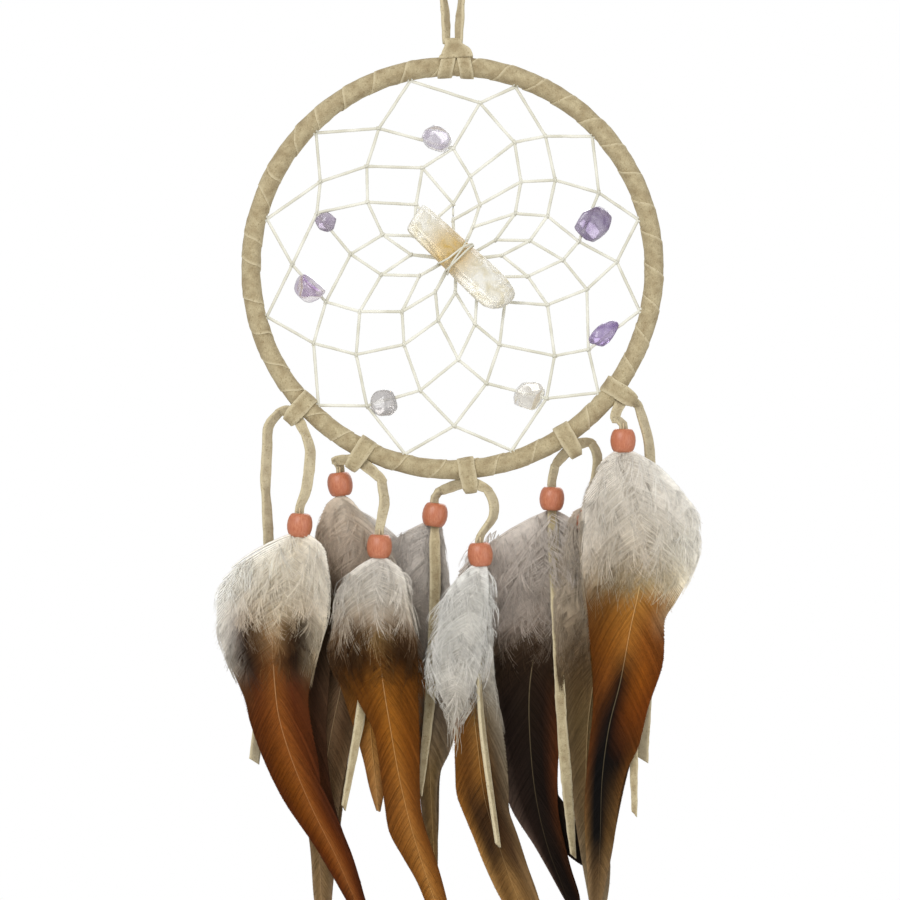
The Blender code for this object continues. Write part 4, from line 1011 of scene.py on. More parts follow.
tie = swept("sinew_binding", tie_chains, [[1.0] * (BINDING_STEPS + 1)] * len(BINDING), 0.6 * MM, 0.4 * MM, 7,
            SINEW)
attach(tie, "hoop")
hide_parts("crystal_tie")


# ---------------------------------------------------------------------------------------------------
# The stone chips: tumbled amethyst, from nearly clear to deep violet, drilled and threaded on the web.
# ---------------------------------------------------------------------------------------------------

CHIPS = [  # start hitch, end hitch, along, right, size, squareness, two tints, turn
    ((2, 10), (1, 10), 6.2, 1.6, (9.6, 7.2, 5.4), 2.6, "e2dee4", "c2bac6", 8),
    ((2, 8), (3, 7), 4.0, -0.3, (5.6, 6.6, 4.6), 2.1, "cfc6d4", "a595ae", 20),
    ((2, 7), (1, 8), 6.4, -1.0, (9.2, 7.6, 5.6), 2.6, "d6ccd4", "9475a4", -10),
    ((1, 6), (2, 5), 5.4, 0.6, (8.0, 7.6, 5.2), 2.3, "e2dfdd", "c6c1c0", 15),
    ((1, 4), (2, 4), 5.4, -0.5, (8.2, 10.0, 5.4), 2.0, "f0ede6", "d8d3ca", 25),
    ((2, 1), (1, 1), 6.9, 1.8, (10.6, 10.0, 6.4), 3.2, "c0b6ca", "8d7c9e", 0),
    ((1, 3), (0, 3), 6.6, -0.9, (10.4, 5.6, 4.8), 2.1, "c8b8da", "947cb0", -5),
]
CHIP_CUTS = 9  # flat worn faces on each chip
CHIP_FULL = 1.08


def amethyst(number, pale, deep):
    """Tumbled amethyst: glassy, cloudy inside, the colour gathered in zones a few millimetres across."""
    made, tree, shader = new_material(f"tumbled amethyst {number}")
    spot = add_node(tree, "ShaderNodeTexCoord")
    zones = add_node(tree, "ShaderNodeTexNoise", {
        "Vector": spot.outputs["Object"], "Scale": 260.0, "Detail": 4.0, "Distortion": 0.8})
    tone = add_node(tree, "ShaderNodeValToRGB", {"Fac": zones.outputs["Fac"]})
    tone.color_ramp.elements[0].position, tone.color_ramp.elements[0].color = 0.36, linear(deep)
    tone.color_ramp.elements[1].position, tone.color_ramp.elements[1].color = 0.64, linear(pale)
    tree.links.new(tone.outputs["Color"], shader.inputs["Base Color"])
    shader.inputs["Roughness"].default_value = 0.12
    shader.inputs["IOR"].default_value = 1.54
    shader.inputs["Transmission Weight"].default_value = 0.55
    return made


for number, (start, end, along, right, size, power, pale, deep, spin) in enumerate(CHIPS, 1):
    here, there = web_nodes[start[0]][start[1]], web_nodes[end[0]][end[1]]
    run = (there - here).normalized()
    across = Vector((run.z, 0, -run.x))
    middle = here + run * along + across * right
    ball = bmesh.new()
    bmesh.ops.create_icosphere(ball, subdivisions=4, radius=1.0)
    cuts = []
    for j in range(CHIP_CUTS):
        lean = Vector((noise.noise((j * 3.1, number * 7.7, 0.3)),
                       noise.noise((j * 2.3, number * 5.1, 4.1)) * 1.1,
                       noise.noise((j * 4.7, number * 3.3, 8.2)))).normalized()
        cuts.append((lean, 0.74 + 0.16 * abs(noise.noise((j * 1.7, number * 1.3, 2.2)))))
    spin_turn = math.radians(spin)
    for vert in ball.verts:
        p = vert.co.copy()
        p = Vector([math.copysign(abs(c) ** (2 / power), c) for c in p])
        for lean, limit in cuts:
            beyond = p.dot(lean) - limit
            if beyond > 0:
                p -= lean * beyond * 0.9
        p *= 1 + 0.03 * noise.noise(p * 2.5 + Vector((number, 0, 0)))
        flat = Vector((p.x * size[0] / 2, p.y * size[2] / 2, p.z * size[1] / 2)) * CHIP_FULL
        flat = Vector((flat.x * math.cos(spin_turn) - flat.z * math.sin(spin_turn), flat.y,
                       flat.x * math.sin(spin_turn) + flat.z * math.cos(spin_turn)))
        vert.co = (middle + run * flat.x + Vector((0, flat.y, 0)) + across * flat.z) * MM
    bmesh.ops.recalc_face_normals(ball, faces=ball.faces)
    chip_mesh = bpy.data.meshes.new(f"amethyst_chip_{number}")
    ball.to_mesh(chip_mesh)
    ball.free()
    chip_mesh.shade_smooth()
    chip_mesh.materials.append(amethyst(number, pale, deep))
    chip = bpy.data.objects.new(f"amethyst_chip_{number}", chip_mesh)
    bpy.context.scene.collection.objects.link(chip)
    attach(chip, "hoop")
    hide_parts(f"stone_chip_{number}")


# ---------------------------------------------------------------------------------------------------
# The feathers: rooster and guinea hackles, two to a bead. A quill pushed up through the bead carries a
# loose downy base and a firm blade, and every barb of both is a separate strand set on the shaft.
# ---------------------------------------------------------------------------------------------------

# Sizes are from the bead's middle: shaft (drop, right), outline (drop, left edge, right edge), and tones
# (drop, five colours from the left edge over the shaft to the right edge). "down" is where the down ends.
FEATHERS = {
    "feather_1_front": dict(
        bead=1, depth=-2.2, down=38, puff=(4.5, 2.0),
        shaft=[(4, 0), (14, -2.5), (24, -6), (33, -8.2), (48, -7.6), (60, -6), (74, -1.5), (88, 4.5),
               (102, 11.5), (118, 18.5), (128, 23.5)],
        outline=[(1.5, -2, 2), (3, -5, 4), (7, -10, 7.5), (9, -15, 8.2), (12, -20, 8.7), (17, -24, 9),
                 (21.5, -25.5, 9), (28, -25.7, 8.7), (34, -24.9, 7), (41, -22.3, 5), (48, -19.2, 3.5),
                 (54, -16.7, 2.8), (60, -15.3, 3.4), (72, -11, 5.6), (85, -4.6, 7.7), (100, 5.6, 15.5),
                 (116, 14.9, 20.4), (124, 20, 22.8), (129, 23.3, 24)],
        tones=[(4, "eae4d6 e4dbc8 dccfb6 e2d8c4 e6dccb"), (18, "eceae2 d9ceb8 d2c4aa d6cab3 e0d6c3"),
               (26, "e6e3da b9a488 cdb995 a8906f d6cab4"), (31, "dad6cb 5e3f28 b08858 463022 c4b495"),
               (44, "b5ab9c 4a2e1b a4642f 452a1a 9f8664"), (50, "7d5634 7a3f1a ab6830 77391a 744420"),
               (58, "78401a 8a4818 b0682f 87441a 753a16"), (80, "78390f 94500f b0692f 8a4615 6a3210"),
               (105, "793912 985019 b26e38 904918 6a3212"), (129, "643012 7c3e1a 925228 763a18 582a12")]),
    "feather_1_back": dict(
        bead=1, depth=2.2, down=20, puff=(1.0, 3.0),
        shaft=[(4, 0.5), (20, 0), (50, -2), (80, 5), (100, 12), (117, 16.5)],
        outline=[(4, -3, 3), (14, -9, 8), (28, -12, 10), (48, -12, 9), (66, -9, 8), (85, -1, 10),
                 (104, 8, 16), (112, 13, 17), (118, 16.2, 17)],
        tones=[(4, "c9bca4 cbbfa8 cbbfa8 cbbfa8 cfc3ac"), (22, "8b7459 6f573e a08466 5b432e 8b7459"),
               (45, "5c4027 4a2f1b 8a6440 432a19 6b5038"), (80, "6d4020 6e3c18 8d5a30 5f3214 5a3116"),
               (118, "5a3014 6a3818 855028 5a3014 4c280f")]),
    "feather_2_front": dict(
        bead=2, depth=-2.2, down=34, puff=(2.5, 2.5),
        shaft=[(4, 0.5), (14, 2.5), (26, 4.8), (42, 4), (60, 1), (79, -3), (98, -5.5), (120, -6),
               (143, -4.8)],
        outline=[(3, -2, 2), (8, -5, 6), (14, -7, 11), (20, -7.5, 15.5), (27, -8, 18), (36, -9, 16.5),
                 (45, -11, 14), (60, -12, 9), (79, -12, 4), (98, -11, 0), (114, -9, -1.5), (128, -8, -2.5),
                 (138, -6.5, -3.6), (145, -4.9, -4.3)],
        tones=[(4, "b3a18a b8a690 c4b49e b8a690 c2b39e"), (20, "a8927a ab957d bda993 ac967e c6baa9"),
               (36, "98816a 8b7156 a68d72 8c7258 a5927c"), (60, "8a7054 6f5136 94765a 6c4f35 846b50"),
               (85, "8f7455 7a5b3d 9c7c5b 7a5a3c 8c7152"), (115, "a58a6a 96784f a98a65 967850 a3886a"),
               (145, "b09778 a3865f b3946b a18560 a98f70")]),
    "feather_2_back": dict(
        bead=2, depth=2.2, down=40, puff=(1.0, 2.5),
        shaft=[(4, 0.5), (20, 6), (40, 4), (73, -4), (98, -5), (122, -5), (138, -4.6)],
        outline=[(6, -2, 3), (14, -4, 14), (22, -4, 22), (32, -6, 23), (45, -12, 14), (60, -13, 8),
                 (73, -12.5, 4), (98, -10, 1), (122, -7, -2), (134, -5.5, -4), (139, -4.8, -4.4)],
        tones=[(6, "b6aa9b bbb0a2 c0b5a6 beb4a8 c9c1b6"), (24, "a99d8e aca093 b5aa9c b4aa9f c5bdb4"),
               (45, "8f7b64 7c654c 94795e 7c664e 9b8973"), (90, "8b6f50 785a3c 916f4e 765a3d 8b7050"),
               (139, "a38962 94774f a48559 94774f a0845c")]),
    "feather_3_front": dict(
        bead=3, depth=-2.2, down=36, puff=(4.5, 2.0), ragged=1.5,
        shaft=[(4, 0), (16, -0.5), (30, 0), (42, 1.2), (56, 3.5), (70, 6), (85, 9.5), (99, 13.8),
               (112, 18.2), (125, 22.6)],
        outline=[(2.5, -2, 2), (5, -6, 5), (9, -10.5, 8.2), (14, -12.5, 9.4), (20, -13, 10),
                 (26, -14.2, 11.5), (32, -15, 12.8), (38, -13, 13), (46, -8, 12.8), (56, -2, 12.6),
                 (66, 0, 12.3), (80, 1.8, 12.6), (88, 3.2, 14.4), (95, 7, 16.8), (103, 11.6, 19.2),
                 (112, 15.5, 21.4), (120, 20, 22.8), (126, 22.7, 23.2)],
        tones=[(3, "d3cbbe d6cfc3 d2cbbf d6cfc3 d8d1c5"), (15, "bfb5a5 b8ad9b c1b7a7 baaf9d c4bbab"),
               (21, "aa9a84 9b866d b7a58e 9b866d b5a590"), (27, "866647 6f4f31 94703f 6f4f31 7f5f40"),
               (34, "5f3f22 573618 8a5520 573618 60401f"), (42, "80501f 94581a b0702a 96591b 8a531b"),
               (58, "8f5218 a15f1d b87730 a05d1c 8e5119"), (80, "8f5420 a5662a bd8040 a26228 8c5220"),
               (105, "9c6229 b07434 c28b4c ae7132 965c27"), (126, "a66f38 b88245 c4925a b67e42 a26a35")]),
    "feather_3_back": dict(
        bead=3, depth=2.2, down=30, puff=(1.5, 2.5),
        shaft=[(4, 0), (20, -2), (42, -3.5), (60, -2.5), (72, -1.2), (82, -0.4)],
        outline=[(4, -3, 3), (10, -9, 8), (20, -13, 10), (32, -16, 11), (44, -12, 10), (56, -8, 9),
                 (66, -5, 4), (75, -3, 1.6), (83, -0.5, -0.1)],
        tones=[(4, "cfc6b9 d2cabd d0c8bb d2cabd d5cdc0"), (20, "b7a995 ab9b84 b9aa94 ab9b84 b9ab97"),
               (32, "7d5c3c 6a4827 8f6633 6a4827 785632"), (46, "8d5c2a a0672a b4792f a0672a 8e5b27"),
               (66, "a8713a b87f43 c59154 b67c40 a46c36"), (83, "b3814c be8d58 c99c68 be8d58 b3814c")]),
    "feather_4_front": dict(
        bead=4, depth=0.6, aside=0.7, down=44, puff=(1.2, 3.0),
        shaft=[(4, 0), (16, -3.5), (32, -4.5), (50, -3.8), (68, -2), (84, -1.4), (100, -0.6), (118, 0.2)],
        outline=[(1, -4, 1.5), (4, -10, 2), (8, -14, 2.5), (14, -15.5, 3.5), (22, -14, 4.2), (32, -12, 5),
                 (45, -11.5, 5.6), (58, -9.5, 6.2), (68, -7.5, 6.2), (74, -6, 4.6), (81, -5, 1.4),
                 (90, -4.2, 0.4), (104, -2.4, 0.8), (119, 0.1, 0.5)],
        tones=[(2, "bfb6ab c3bbb1 c3bab0 c3bbb1 c6beb4"), (16, "b5ab9f b6aca1 bcb2a6 b6aca1 bab1a6"),
               (34, "a79a8b a29484 b0a292 a39585 aea294"), (58, "a39383 9b8a77 ac9b87 9b8a77 aa9c8d"),
               (80, "9c8568 907750 a98c60 92784f a08a6c"), (119, "9b7a4e 94703f aa8550 956f3f 97774c")]),
    "feather_4_back": dict(
        bead=4, depth=3.0, aside=-0.7, down=36, puff=(0.8, 3.0),
        shaft=[(4, 0), (26, -4.5), (57, -2.5), (82, -1.8), (103, -0.8), (112, -0.2)],
        outline=[(3, -6, 2), (10, -16, 2.5), (18, -19, 3.5), (30, -14, 4.5), (57, -8, 5.5), (72, -6, 4),
                 (82, -5, 1.5), (98, -3.4, 1), (113, -0.4, 0)],
        tones=[(3, "c2bab0 c5beb4 c4bcb2 c5beb4 c7c0b6"), (30, "ada193 a4988a b0a494 a4988a aca194"),
               (60, "9b8b78 90806c a4937e 90806c 9b8b78"), (113, "9a7d53 8f7145 a28050 8f7145 95784f")]),
    "feather_5_front": dict(
        bead=5, depth=-2.2, down=60, puff=(3.5, 2.0), ragged=2.4,
        shaft=[(4, 0), (12, -2), (22, -4.5), (32, -7), (42, -8), (50, -7.6)],
        outline=[(2, -2, 1.5), (5, -4.5, 2.7), (9, -9, 3.2), (14, -12.8, 3.4), (20, -14.2, 3.3),
                 (27, -15.6, 2.6), (33, -16.6, 1.6), (38, -16, 0.6), (43, -13.6, -1.5), (48, -10, -5),
                 (51.5, -7.8, -7.2)],
        tones=[(2, "d8d6ce dbd9d2 d5d2c9 dbd9d2 dedcd5"), (15, "d3d1c9 cdcac1 d3cfc5 cdcac1 d5d3cb"),
               (30, "cbc8c0 c0bcb2 cbc6bb c0bcb2 cbc8c0"), (42, "c2bdb2 b5afa2 c4bcae b3ac9f bdb7ab"),
               (52, "aba18f a1957f b3a68e a1957f aba18f")]),
    "feather_5_back": dict(
        bead=5, depth=2.2, down=42, puff=(1.0, 2.5),
        shaft=[(4, 0), (20, -1.5), (45, -2), (60, -0.6), (76, 1.6), (92, 6.5), (107, 12), (125, 19.5)],
        outline=[(5, -3, 2), (14, -7, 3), (30, -9, 4), (44, -9, 5), (54, -8, 7), (66, -7.6, 8.4),
                 (74, -7.2, 8.8), (80, -5.1, 9), (88, -1.8, 11.8), (97, 1.8, 14.7), (107, 6.7, 18.2),
                 (118, 13.8, 20.6), (127, 20, 21)],
        tones=[(5, "cfccc4 cfccc4 cfccc4 cfccc4 cfccc4"), (40, "b3a996 a89b84 b5a78e a39886 aaa294"),
               (50, "b07a40 a06a34 bb8a4e 8c7a60 9c9282"), (68, "9a6228 84511f b17a3c 6f5233 8f8068"),
               (80, "b27838 5a3a1c 6e4a28 4d3118 83694c"), (92, "c08e50 4f331a 7c5a34 58391d 94744e"),
               (100, "bf935a 8a6234 ad8450 8e6a40 a08058"), (127, "b58a54 a67a42 ba9058 a87c45 a27a4c")]),
    "feather_6_front": dict(
        bead=6, depth=0.6, aside=0.7, down=48, puff=(6.0, 3.5), cover=26,
        shaft=[(4, 0), (14, -2.4), (28, -2.6), (42, -4.5), (59, -7), (76, -6.8), (93, -5), (108, -1.5),
               (120, 3), (132, 7.6)],
        outline=[(3, -5, 3), (6, -13, 6), (9, -19, 9), (14, -25, 12), (20, -28.5, 13.5), (28, -30, 14.7),
                 (37, -31, 14), (46, -30, 12), (53, -27, 7), (60, -23.5, 3.6), (71, -21, 2.8),
                 (84, -17, 1.8), (97, -12.5, 1.8), (108, -5.6, 4), (116, -1, 6), (124, 3.4, 8.5),
                 (130, 6.8, 9), (134, 8, 8.6)],
        tones=[(3, "c8bdb1 cac0b5 bfb4a8 cac0b5 cec4b9"), (20, "c2b6aa bcafa2 ab9d8f bcafa2 c6bbb0"),
               (38, "b0a293 a6978a 8e7c6b a69788 b9ac9f"), (46, "8f7c69 735d48 644b35 755f4b a39485"),
               (54, "8a7462 4a3424 3f2b1b 4a2f1c 8c6a4a"), (64, "8c7666 35241a 33220f 38200f 8e5430"),
               (85, "8e786a 3a281e 2c1c10 2a180c 8a4c26"), (105, "8a7264 3e2a20 2b1c10 2c180c 70401f"),
               (134, "4a3018 20140b 2a1b0f 1e140b 271a10")]),
    "feather_6_back": dict(
        bead=6, depth=3.0, aside=-0.7, down=44, puff=(1.0, 3.5),
        shaft=[(4, 0), (19, 1), (44, 0.5), (68, -3), (93, -4), (109, 3), (117, 14)],
        outline=[(4, -3, 4), (10, -10, 10), (19, -14, 15), (30, -14, 17), (44, -12, 15), (56, -12, 7),
                 (68, -12, 3), (93, -10, 2), (104, -3, 7), (112, 6, 12.5), (118, 14.5, 16)],
        tones=[(4, "b9aea4 bab0a6 b4a99e bab0a6 beb5ac"), (30, "a59889 9c8e80 9a8b7c 9c8e80 a99d90"),
               (50, "6b5643 56412f 644d39 543f2e 75624f"), (70, "3e2b1b 2a1c11 3e2b1b 281b11 4a3726"),
               (118, "33221a 241710 33221a 221610 2a1c12")]),
    "feather_7_front": dict(
        bead=7, depth=-2.2, down=40, puff=(4.5, 2.0),
        shaft=[(4, 0), (16, 3.5), (30, 6), (44, 5), (58, 2), (74, -1), (88, -4.5), (104, -6.6), (122, -7.2),
               (150, -8.4)],
        outline=[(2, -3, 2.5), (4, -5, 6), (7, -7, 10), (12, -9, 15), (17, -11.8, 19), (22, -12, 22.6),
                 (28, -12, 23.4), (35, -12.6, 23), (43, -12.4, 19.9), (50, -11.5, 15.9), (55, -11, 12.8),
                 (62, -10.4, 12.5), (70, -9.5, 11.8), (82, -9.2, 7.6), (94, -10.4, 4.6), (102, -11.2, 0.8),
                 (112, -11.8, -1.6), (123, -11.6, -3), (133, -11, -4.9), (142, -10.2, -6.8),
                 (151, -8.8, -8.2)],
        tones=[(2, "dad1c3 dad2c4 d6cdbe dfd8cb e6e0d4"), (20, "cfc5b6 cbc1b0 d4cab9 dcd4c6 ece7dc"),
               (34, "c2b5a2 b8a992 c9baa2 d6cdb9 ebe5d6"), (44, "ab967a a38b64 bda270 cfbd98 e2dac6"),
               (50, "8f6236 a46c2e c0853e b67c40 c6ae88"), (62, "8a4e16 a26222 bd7c38 a86024 96582a"),
               (73, "7e4412 9c5a22 3a200c b06420 8e4a16"), (84, "8a4c1a 4a2810 0a0502 985018 944c18"),
               (99, "7a4620 0e0703 080402 1c0f06 84501e"), (122, "9c7648 120a05 140b06 7d5a30 8a6a40"),
               (132, "a98a64 6d5233 7c5e3c 97774e 9a7c58"), (151, "b0946f a08259 ab8d66 a2865f a78c69")]),
    "feather_7_back": dict(
        bead=7, depth=2.2, down=36, puff=(1.5, 3.0),
        shaft=[(4, 0), (18, 1), (49, 1), (80, 0), (105, -5), (127, -6.5), (142, -6.8)],
        outline=[(5, -5, 4), (18, -12, 12), (32, -13, 16), (49, -11, 13), (64, -10, 11), (80, -9, 8),
                 (105, -10, 1), (127, -9.5, -3.5), (138, -8, -5.6), (143, -7, -6.5)],
        tones=[(5, "cabfae cdc3b3 ccc1b0 cdc3b3 d3cabc"), (34, "ac9a80 a08c6e b39d7c a08c6e b7a78d"),
               (60, "85551c 96631f ad7a35 8f5d1c 8a5a22"), (100, "7a4c1c 8a5820 9d6c35 80501c 74491b"),
               (143, "a38660 94754c a58660 94754c 9b7f58")]),
    "feather_8_front": dict(
        bead=8, depth=-2.2, down=44, puff=(5.0, 3.0), cover=14,
        shaft=[(4, 0), (16, 3), (30, 4), (48, 2), (64, 0), (84, -0.5), (104, 1), (118, 2.2), (129, 2.6)],
        outline=[(-5, -3, 4), (-1, -5.5, 7), (5, -7.5, 10), (12, -9, 14), (22, -10, 17), (34, -10, 17),
                 (46, -9, 14), (58, -7.5, 9), (72, -6.5, 5.4), (88, -4.5, 4.6), (104, -2, 6.8),
                 (115, 0, 6.4), (125, 1.8, 4.2), (130, 2.5, 2.9)],
        tones=[(2, "b0a08c b4a591 b4a591 b4a591 bbad9a"), (24, "a08e76 9a866c a28d72 9a866c a9987f"),
               (42, "846c4e 765a3b 8c6d49 765a3b 8b7254"), (62, "857050 7d6540 957c54 7d6540 857050"),
               (90, "9a8060 8c7350 9c7c54 866a45 94795a"), (130, "b3a184 a9946f b5a07c a9946f b0a085")]),
    "feather_8_back": dict(
        bead=8, depth=2.2, down=40, puff=(1.0, 3.0),
        shaft=[(4, 1), (24, 5), (55, 3), (80, 2), (102, 1.4), (116, 1.8)],
        outline=[(6, -5, 8), (16, -8, 16), (28, -9, 18), (44, -8, 15), (60, -6, 10), (80, -3, 6),
                 (102, -1.2, 4.4), (112, 0.6, 3.2), (117, 1.7, 2)],
        tones=[(6, "ada090 b0a494 b0a494 b0a494 b5aa9b"), (40, "8b765c 7e6648 8f744f 7e6648 8c7759"),
               (70, "76572f 6d4c25 86632f 6d4c25 74552f"), (117, "a48d68 98805a a58c66 98805a 9e8763")]),
}
BARB_WIDTH, BARB_THICK = 0.3, 0.11
UNDER_GAP, DOWN_GAP, BLADE_GAP = 0.5, 0.4, 0.3  # between barbs, along the shaft
TOP_SLOPE = 0.4  # of the highest barbs: no tuft grows above them
TUFT_AREA = 4.0  # of down, in square millimetres, to each tuft
TUFT_STRANDS, TUFT_LENGTHS = (6, 12), (4.0, 11.0)
TUFT_FAN, TUFT_STRAY, STRAND_STRAY = 34, 15, 11  # in degrees
CLUMP_BARBS = (8, 30)  # which lean together
UNDER_BREADTHS = (3.2, 2.3)  # the broad barbs that close the vane, at the shaft and at the edge
BARB_POINTS, STRAND_POINTS = 6, 5
QUILL_TOP, QUILL_ASIDE, QUILL_BREADTH = 5.4, 1.45, 1.9
QUILL_HORN = "c9b48c"
RICHER = 0.05  # how much stronger a blade's colour is than its tones say
TONE_PLACES = 5  # across a vane, from the left edge to the right


def feather_barbs():
    """Feather: dull keratin strands, coloured by the bird, each a little lighter or darker than the next."""
    made, tree, shader = new_material("feather barbs")
    tint = add_node(tree, "ShaderNodeAttribute", attribute_name="tint")
    spot = add_node(tree, "ShaderNodeTexCoord")
    fleck = add_node(tree, "ShaderNodeTexNoise", {"Vector": spot.outputs["Object"], "Scale": 900.0,
                                                  "Detail": 3.0})
    shade = add_node(tree, "ShaderNodeMapRange", {
        "Value": fleck.outputs["Fac"], "From Min": 0.3, "From Max": 0.7, "To Min": 0.88, "To Max": 1.1})
    mixed = add_node(tree, "ShaderNodeVectorMath", {0: tint.outputs["Color"],
                                                    "Scale": shade.outputs["Result"]},
                     operation="SCALE")
    tree.links.new(mixed.outputs[0], shader.inputs["Base Color"])
    shader.inputs["Roughness"].default_value = 0.75
    shader.inputs["Specular IOR Level"].default_value = 0.12
    return made


FEATHER_BARBS = feather_barbs()


def make_feather(made, seed):
    """Every strand of a feather: its points in metres, its breadths and its tints."""
    dice = np.random.default_rng(seed)
    middle = from_centre(*BEADS[made["bead"]], BEAD_DEPTH[made["bead"]]) / MM
    shaft = np.array([tuple(p) for p in smooth([(d, x, 0.0) for d, x in made["shaft"]], 2.0)])
    outline = np.array([tuple(p) for p in smooth(made["outline"], 2.0)])
    tone_drops = np.array([drop for drop, _ in made["tones"]])
    tone_table = np.array([[linear(code)[:3] for code in row.split()] for _, row in made["tones"]])
    top_drop, tip_drop, down_drop = outline[0, 0], shaft[-1, 0], made["down"]
    toward, away = made["puff"]
    ragged = made.get("ragged", 0.6)
    cover = made.get("cover", tip_drop)
    rise = 3.0 if "cover" in made else 8.0
    vane_depth = middle.y + made["depth"]
    quill_depth = middle.y + math.copysign(QUILL_ASIDE, made["depth"])
    chains, breadths, tints = [], [], []

    def shaft_at(drop):
        return np.interp(drop, shaft[:, 0], shaft[:, 1])

    def edge_at(drop, side):
        return np.interp(drop, outline[:, 0], outline[:, 1 if side < 0 else 2])

    def across_at(x, drop):
        """0 on the shaft, -1 at the left edge and 1 at the right one."""
        reach = np.abs(np.where(x < shaft_at(drop), edge_at(drop, -1), edge_at(drop, 1)) - shaft_at(drop))
        return (x - shaft_at(drop)) / np.maximum(reach, 0.6)

    def depth_at(drop):
        return np.interp(drop, [-QUILL_TOP, 4.0, 14.0], [quill_depth, quill_depth, vane_depth])

    def softness(drop):
        """1 in the down, 0 in the blade."""
        return np.clip((down_drop + 6 - drop) / 12, 0, 1)

    def swell(drop, across):
        """How full the down is: nothing at its edges, its top and its end."""
        domed = np.sqrt(np.clip(1 - across ** 2, 0, 1))
        full = domed * np.clip((drop - top_drop) / rise, 0.2, 1) * softness(drop)
        return full * np.clip(1 - (drop - cover) / 6, 0.3, 1)

    def tone_at(drop, across):
        """The colour of a barb: deeper than a firm vane looks, and paler than down, which shades itself."""
        place = (np.clip(across, -1, 1) + 1) / 2 * (TONE_PLACES - 1)
        low = np.minimum(place.astype(int), TONE_PLACES - 2)
        share = (place - low)[:, None]
        row = np.clip(np.searchsorted(tone_drops, drop) - 1, 0, len(tone_drops) - 2)
        blend = np.clip((drop - tone_drops[row]) / (tone_drops[row + 1] - tone_drops[row]), 0, 1)[:, None]
        upper = tone_table[row, low] * (1 - share) + tone_table[row, low + 1] * share
        lower = tone_table[row + 1, low] * (1 - share) + tone_table[row + 1, low + 1] * share
        seen = upper * (1 - blend) + lower * blend
        firm = seen * np.clip(0.3 + 1.25 * seen.mean(1, keepdims=True), 0.3, 1.12)
        firm = np.clip(firm + RICHER * (firm - firm.mean(1, keepdims=True)), 0, 1)
        soft = (softness(drop) * np.clip((seen.mean(1) - 0.08) / 0.2, 0, 1))[:, None]
        return firm * (1 - soft) + 1.05 * seen ** 0.7 * soft

    def add_strand(x, drop, depth, breadth, colour):
        chains.append(np.stack([(middle.x + x) * MM, depth * MM, (middle.z - drop) * MM], 1))
        breadths.append(breadth)
        tints.append(np.concatenate([np.clip(colour, 0, 1), np.ones((len(x), 1))], 1))

    def add_barb(start, side, reach, lean, layer, breadth, shade):
        """A barb from the shaft out to the vane's edge, bowed down, in a layer before (-1) or behind (1)."""
        soft = float(softness(start))
        start_x = shaft_at(start)
        angle = math.radians(min(68, 27 + 20 * soft + 14 * soft * max(0.0, 1 - start / 10) + lean))
        tip = start
        for _ in range(12):
            tip = 0.5 * tip + 0.5 * (start + abs(edge_at(tip, side) - start_x) / math.tan(angle))
        tip = min(tip, outline[-1, 0])
        tip_x = start_x + (edge_at(tip, side) - start_x) * reach
        tip = start + (tip - start) * reach
        t = np.linspace(0, 1, BARB_POINTS)
        bow_x, bow = start_x + (tip_x - start_x) * 0.6, start + (tip - start) * (0.4 - 0.06 * soft)
        x = (1 - t) ** 2 * start_x + 2 * t * (1 - t) * bow_x + t ** 2 * tip_x
        drop = (1 - t) ** 2 * start + 2 * t * (1 - t) * bow + t ** 2 * tip
        x = x + np.sin(t * dice.uniform(3, 8) + dice.uniform(0, 6)) * 0.35 * t * soft * abs(layer)
        across = across_at(x, drop)
        push = layer * (toward if layer < 0 else away) * swell(drop, across) * 0.8
        depth = depth_at(drop) + push + 0.2 * layer + 0.5 * t ** 2 * (1 - soft)
        colour = tone_at(drop + dice.normal(0, 1.2) * abs(layer), across) * shade
        add_strand(x, drop, depth, breadth[0] + (breadth[1] - breadth[0]) * t ** 1.3, colour)

    for side in (-1, 1):
        for start in np.arange(top_drop + 0.5, tip_drop - 0.6, UNDER_GAP):
            add_barb(start, side, 0.99 - 0.09 * (ragged - 0.6) * float(softness(start)), 0.0, 0.0,
                     UNDER_BREADTHS, 1 + dice.normal(0, 0.03))
        start, left_in_clump, lean, clump_shade = top_drop + 1.0, 0, 0.0, 1.0
        while start < tip_drop - 1.0:
            soft = float(softness(start))
            if left_in_clump <= 0:
                left_in_clump = int(dice.integers(*CLUMP_BARBS))
                lean, clump_shade = dice.normal(0, 1.0 + 7 * soft), 1 + dice.normal(0, 0.05)
            left_in_clump -= 1
            layer = (-1 if dice.random() < 0.6 else 1) * dice.uniform(0.5, 1.0)
            reach = min(1.05, 1.0 + dice.normal(0, 0.015 + 0.03 * soft))
            add_barb(start, side, reach, lean, layer, (1.0 - 0.2 * soft, 0.3),
                     clump_shade + dice.normal(0, 0.07))
            start += (DOWN_GAP * soft + BLADE_GAP * (1 - soft)) * dice.uniform(0.7, 1.3)

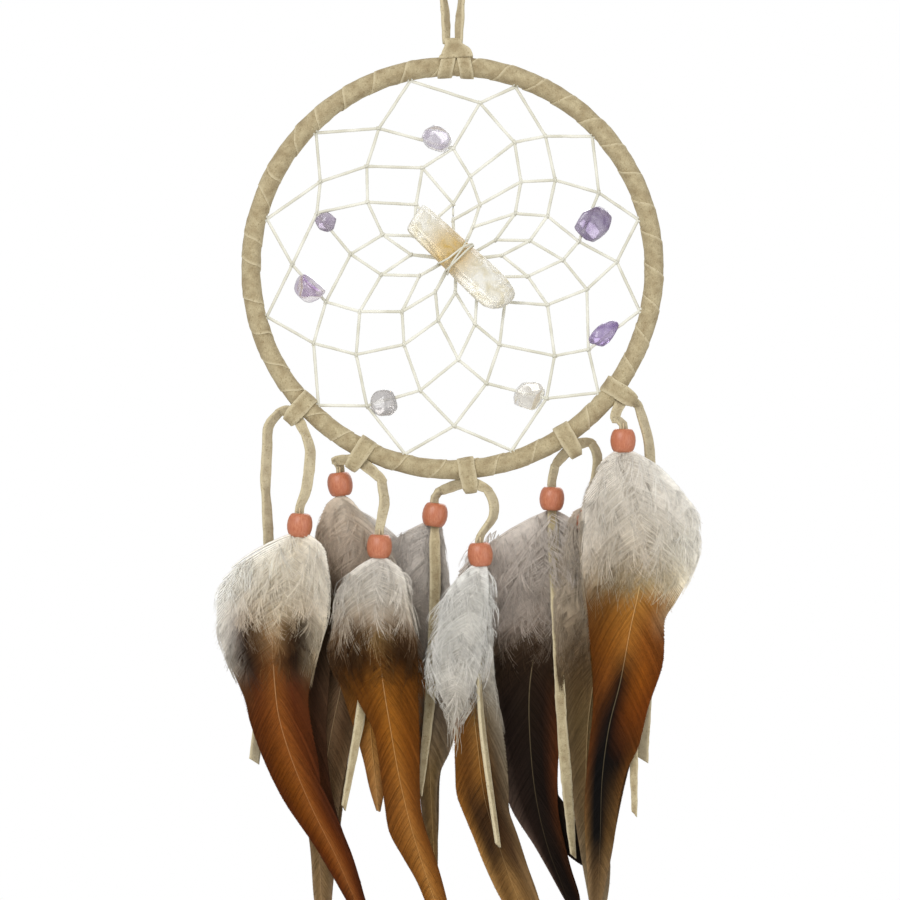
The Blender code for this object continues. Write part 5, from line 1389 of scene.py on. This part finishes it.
    rows = np.arange(top_drop, down_drop + 5, 0.5)
    spans = edge_at(rows, 1) - edge_at(rows, -1)
    for _ in range(int(spans.sum() * 0.5 / TUFT_AREA)):
        root = dice.choice(rows, p=spans / spans.sum())
        root_x = dice.uniform(edge_at(root, -1), edge_at(root, 1)) * 0.97
        if root < top_drop + TOP_SLOPE * abs(root_x - shaft_at(root)):
            continue
        across = float(across_at(np.array([root_x]), np.array([root]))[0])
        height = math.copysign(dice.random() ** 0.6, dice.random() - 0.6)
        tuft_angle = math.radians(across * TUFT_FAN + dice.normal(0, TUFT_STRAY))
        tuft_length = dice.uniform(*TUFT_LENGTHS)
        tuft_shade = 1.03 + dice.normal(0, 0.08)
        tuft_tone = tone_at(np.array([root + dice.normal(0, 1.0)]), np.array([across]))
        for _ in range(int(dice.integers(*TUFT_STRANDS))):
            t = np.linspace(0, 1, STRAND_POINTS)
            stray = math.radians(dice.normal(0, STRAND_STRAY))
            angle = tuft_angle + stray - math.radians(16) * np.sign(across) * t
            length = tuft_length * dice.uniform(0.6, 1.1)
            waver = np.sin(t * dice.uniform(4, 9) + dice.uniform(0, 6)) * 0.22 * t
            x = root_x + length * t * np.sin(angle) + waver * np.cos(angle)
            drop = root + length * t * np.cos(angle) - waver * np.sin(angle)
            x = np.clip(x, edge_at(drop, -1) - ragged * dice.random(),
                        edge_at(drop, 1) + ragged * dice.random())
            full = swell(drop, across_at(x, drop))
            lift = height * (toward if height < 0 else away)
            depth = depth_at(drop) + lift * full * (0.7 + 0.5 * t) + dice.normal(0, 0.2)
            # Painted shade and light: each strand is darker at its root and lighter at its tip, for the shade
            # among the tufts.
            shade = (tuft_shade + dice.normal(0, 0.06)) * (0.86 + 0.22 * t[:, None])
            add_strand(x, drop, depth, 0.62 - 0.4 * t ** 1.2, np.repeat(tuft_tone, STRAND_POINTS, 0) * shade)

    drops = np.concatenate([[-QUILL_TOP, -2.0, 2.0], np.arange(5.0, tip_drop, 3.0), [tip_drop]])
    aside = made.get("aside", 0.0) * np.clip((12 - drops) / 8, 0, 1)
    lift = np.where(drops < 5, 0.0, np.where(drops < down_drop - 4, 0.35, -0.35))
    bend = shaft_at(drops) * (drops > 4) + aside
    share = (drops + QUILL_TOP) / (tip_drop + QUILL_TOP)
    horn = np.array(linear(QUILL_HORN)[:3])
    pale = np.where(drops < 5, 0.9, 0.35 * (1 - share))[:, None]
    add_strand(bend, drops, depth_at(drops) + lift, QUILL_BREADTH * (1 - share) ** 0.8 + 0.4,
               tone_at(drops, np.zeros(len(drops))) * 1.35 * (1 - pale) + horn * pale)
    return chains, breadths, tints


for seed, (name, made) in enumerate(FEATHERS.items(), 1):
    chains, breadths, tints = make_feather(made, seed)
    feather = swept(f"barbs_{name[8:]}", chains, breadths, BARB_WIDTH * MM, BARB_THICK * MM, 3, FEATHER_BARBS,
                    tints)
    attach(feather, TASSEL[made["bead"]])
    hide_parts(name)
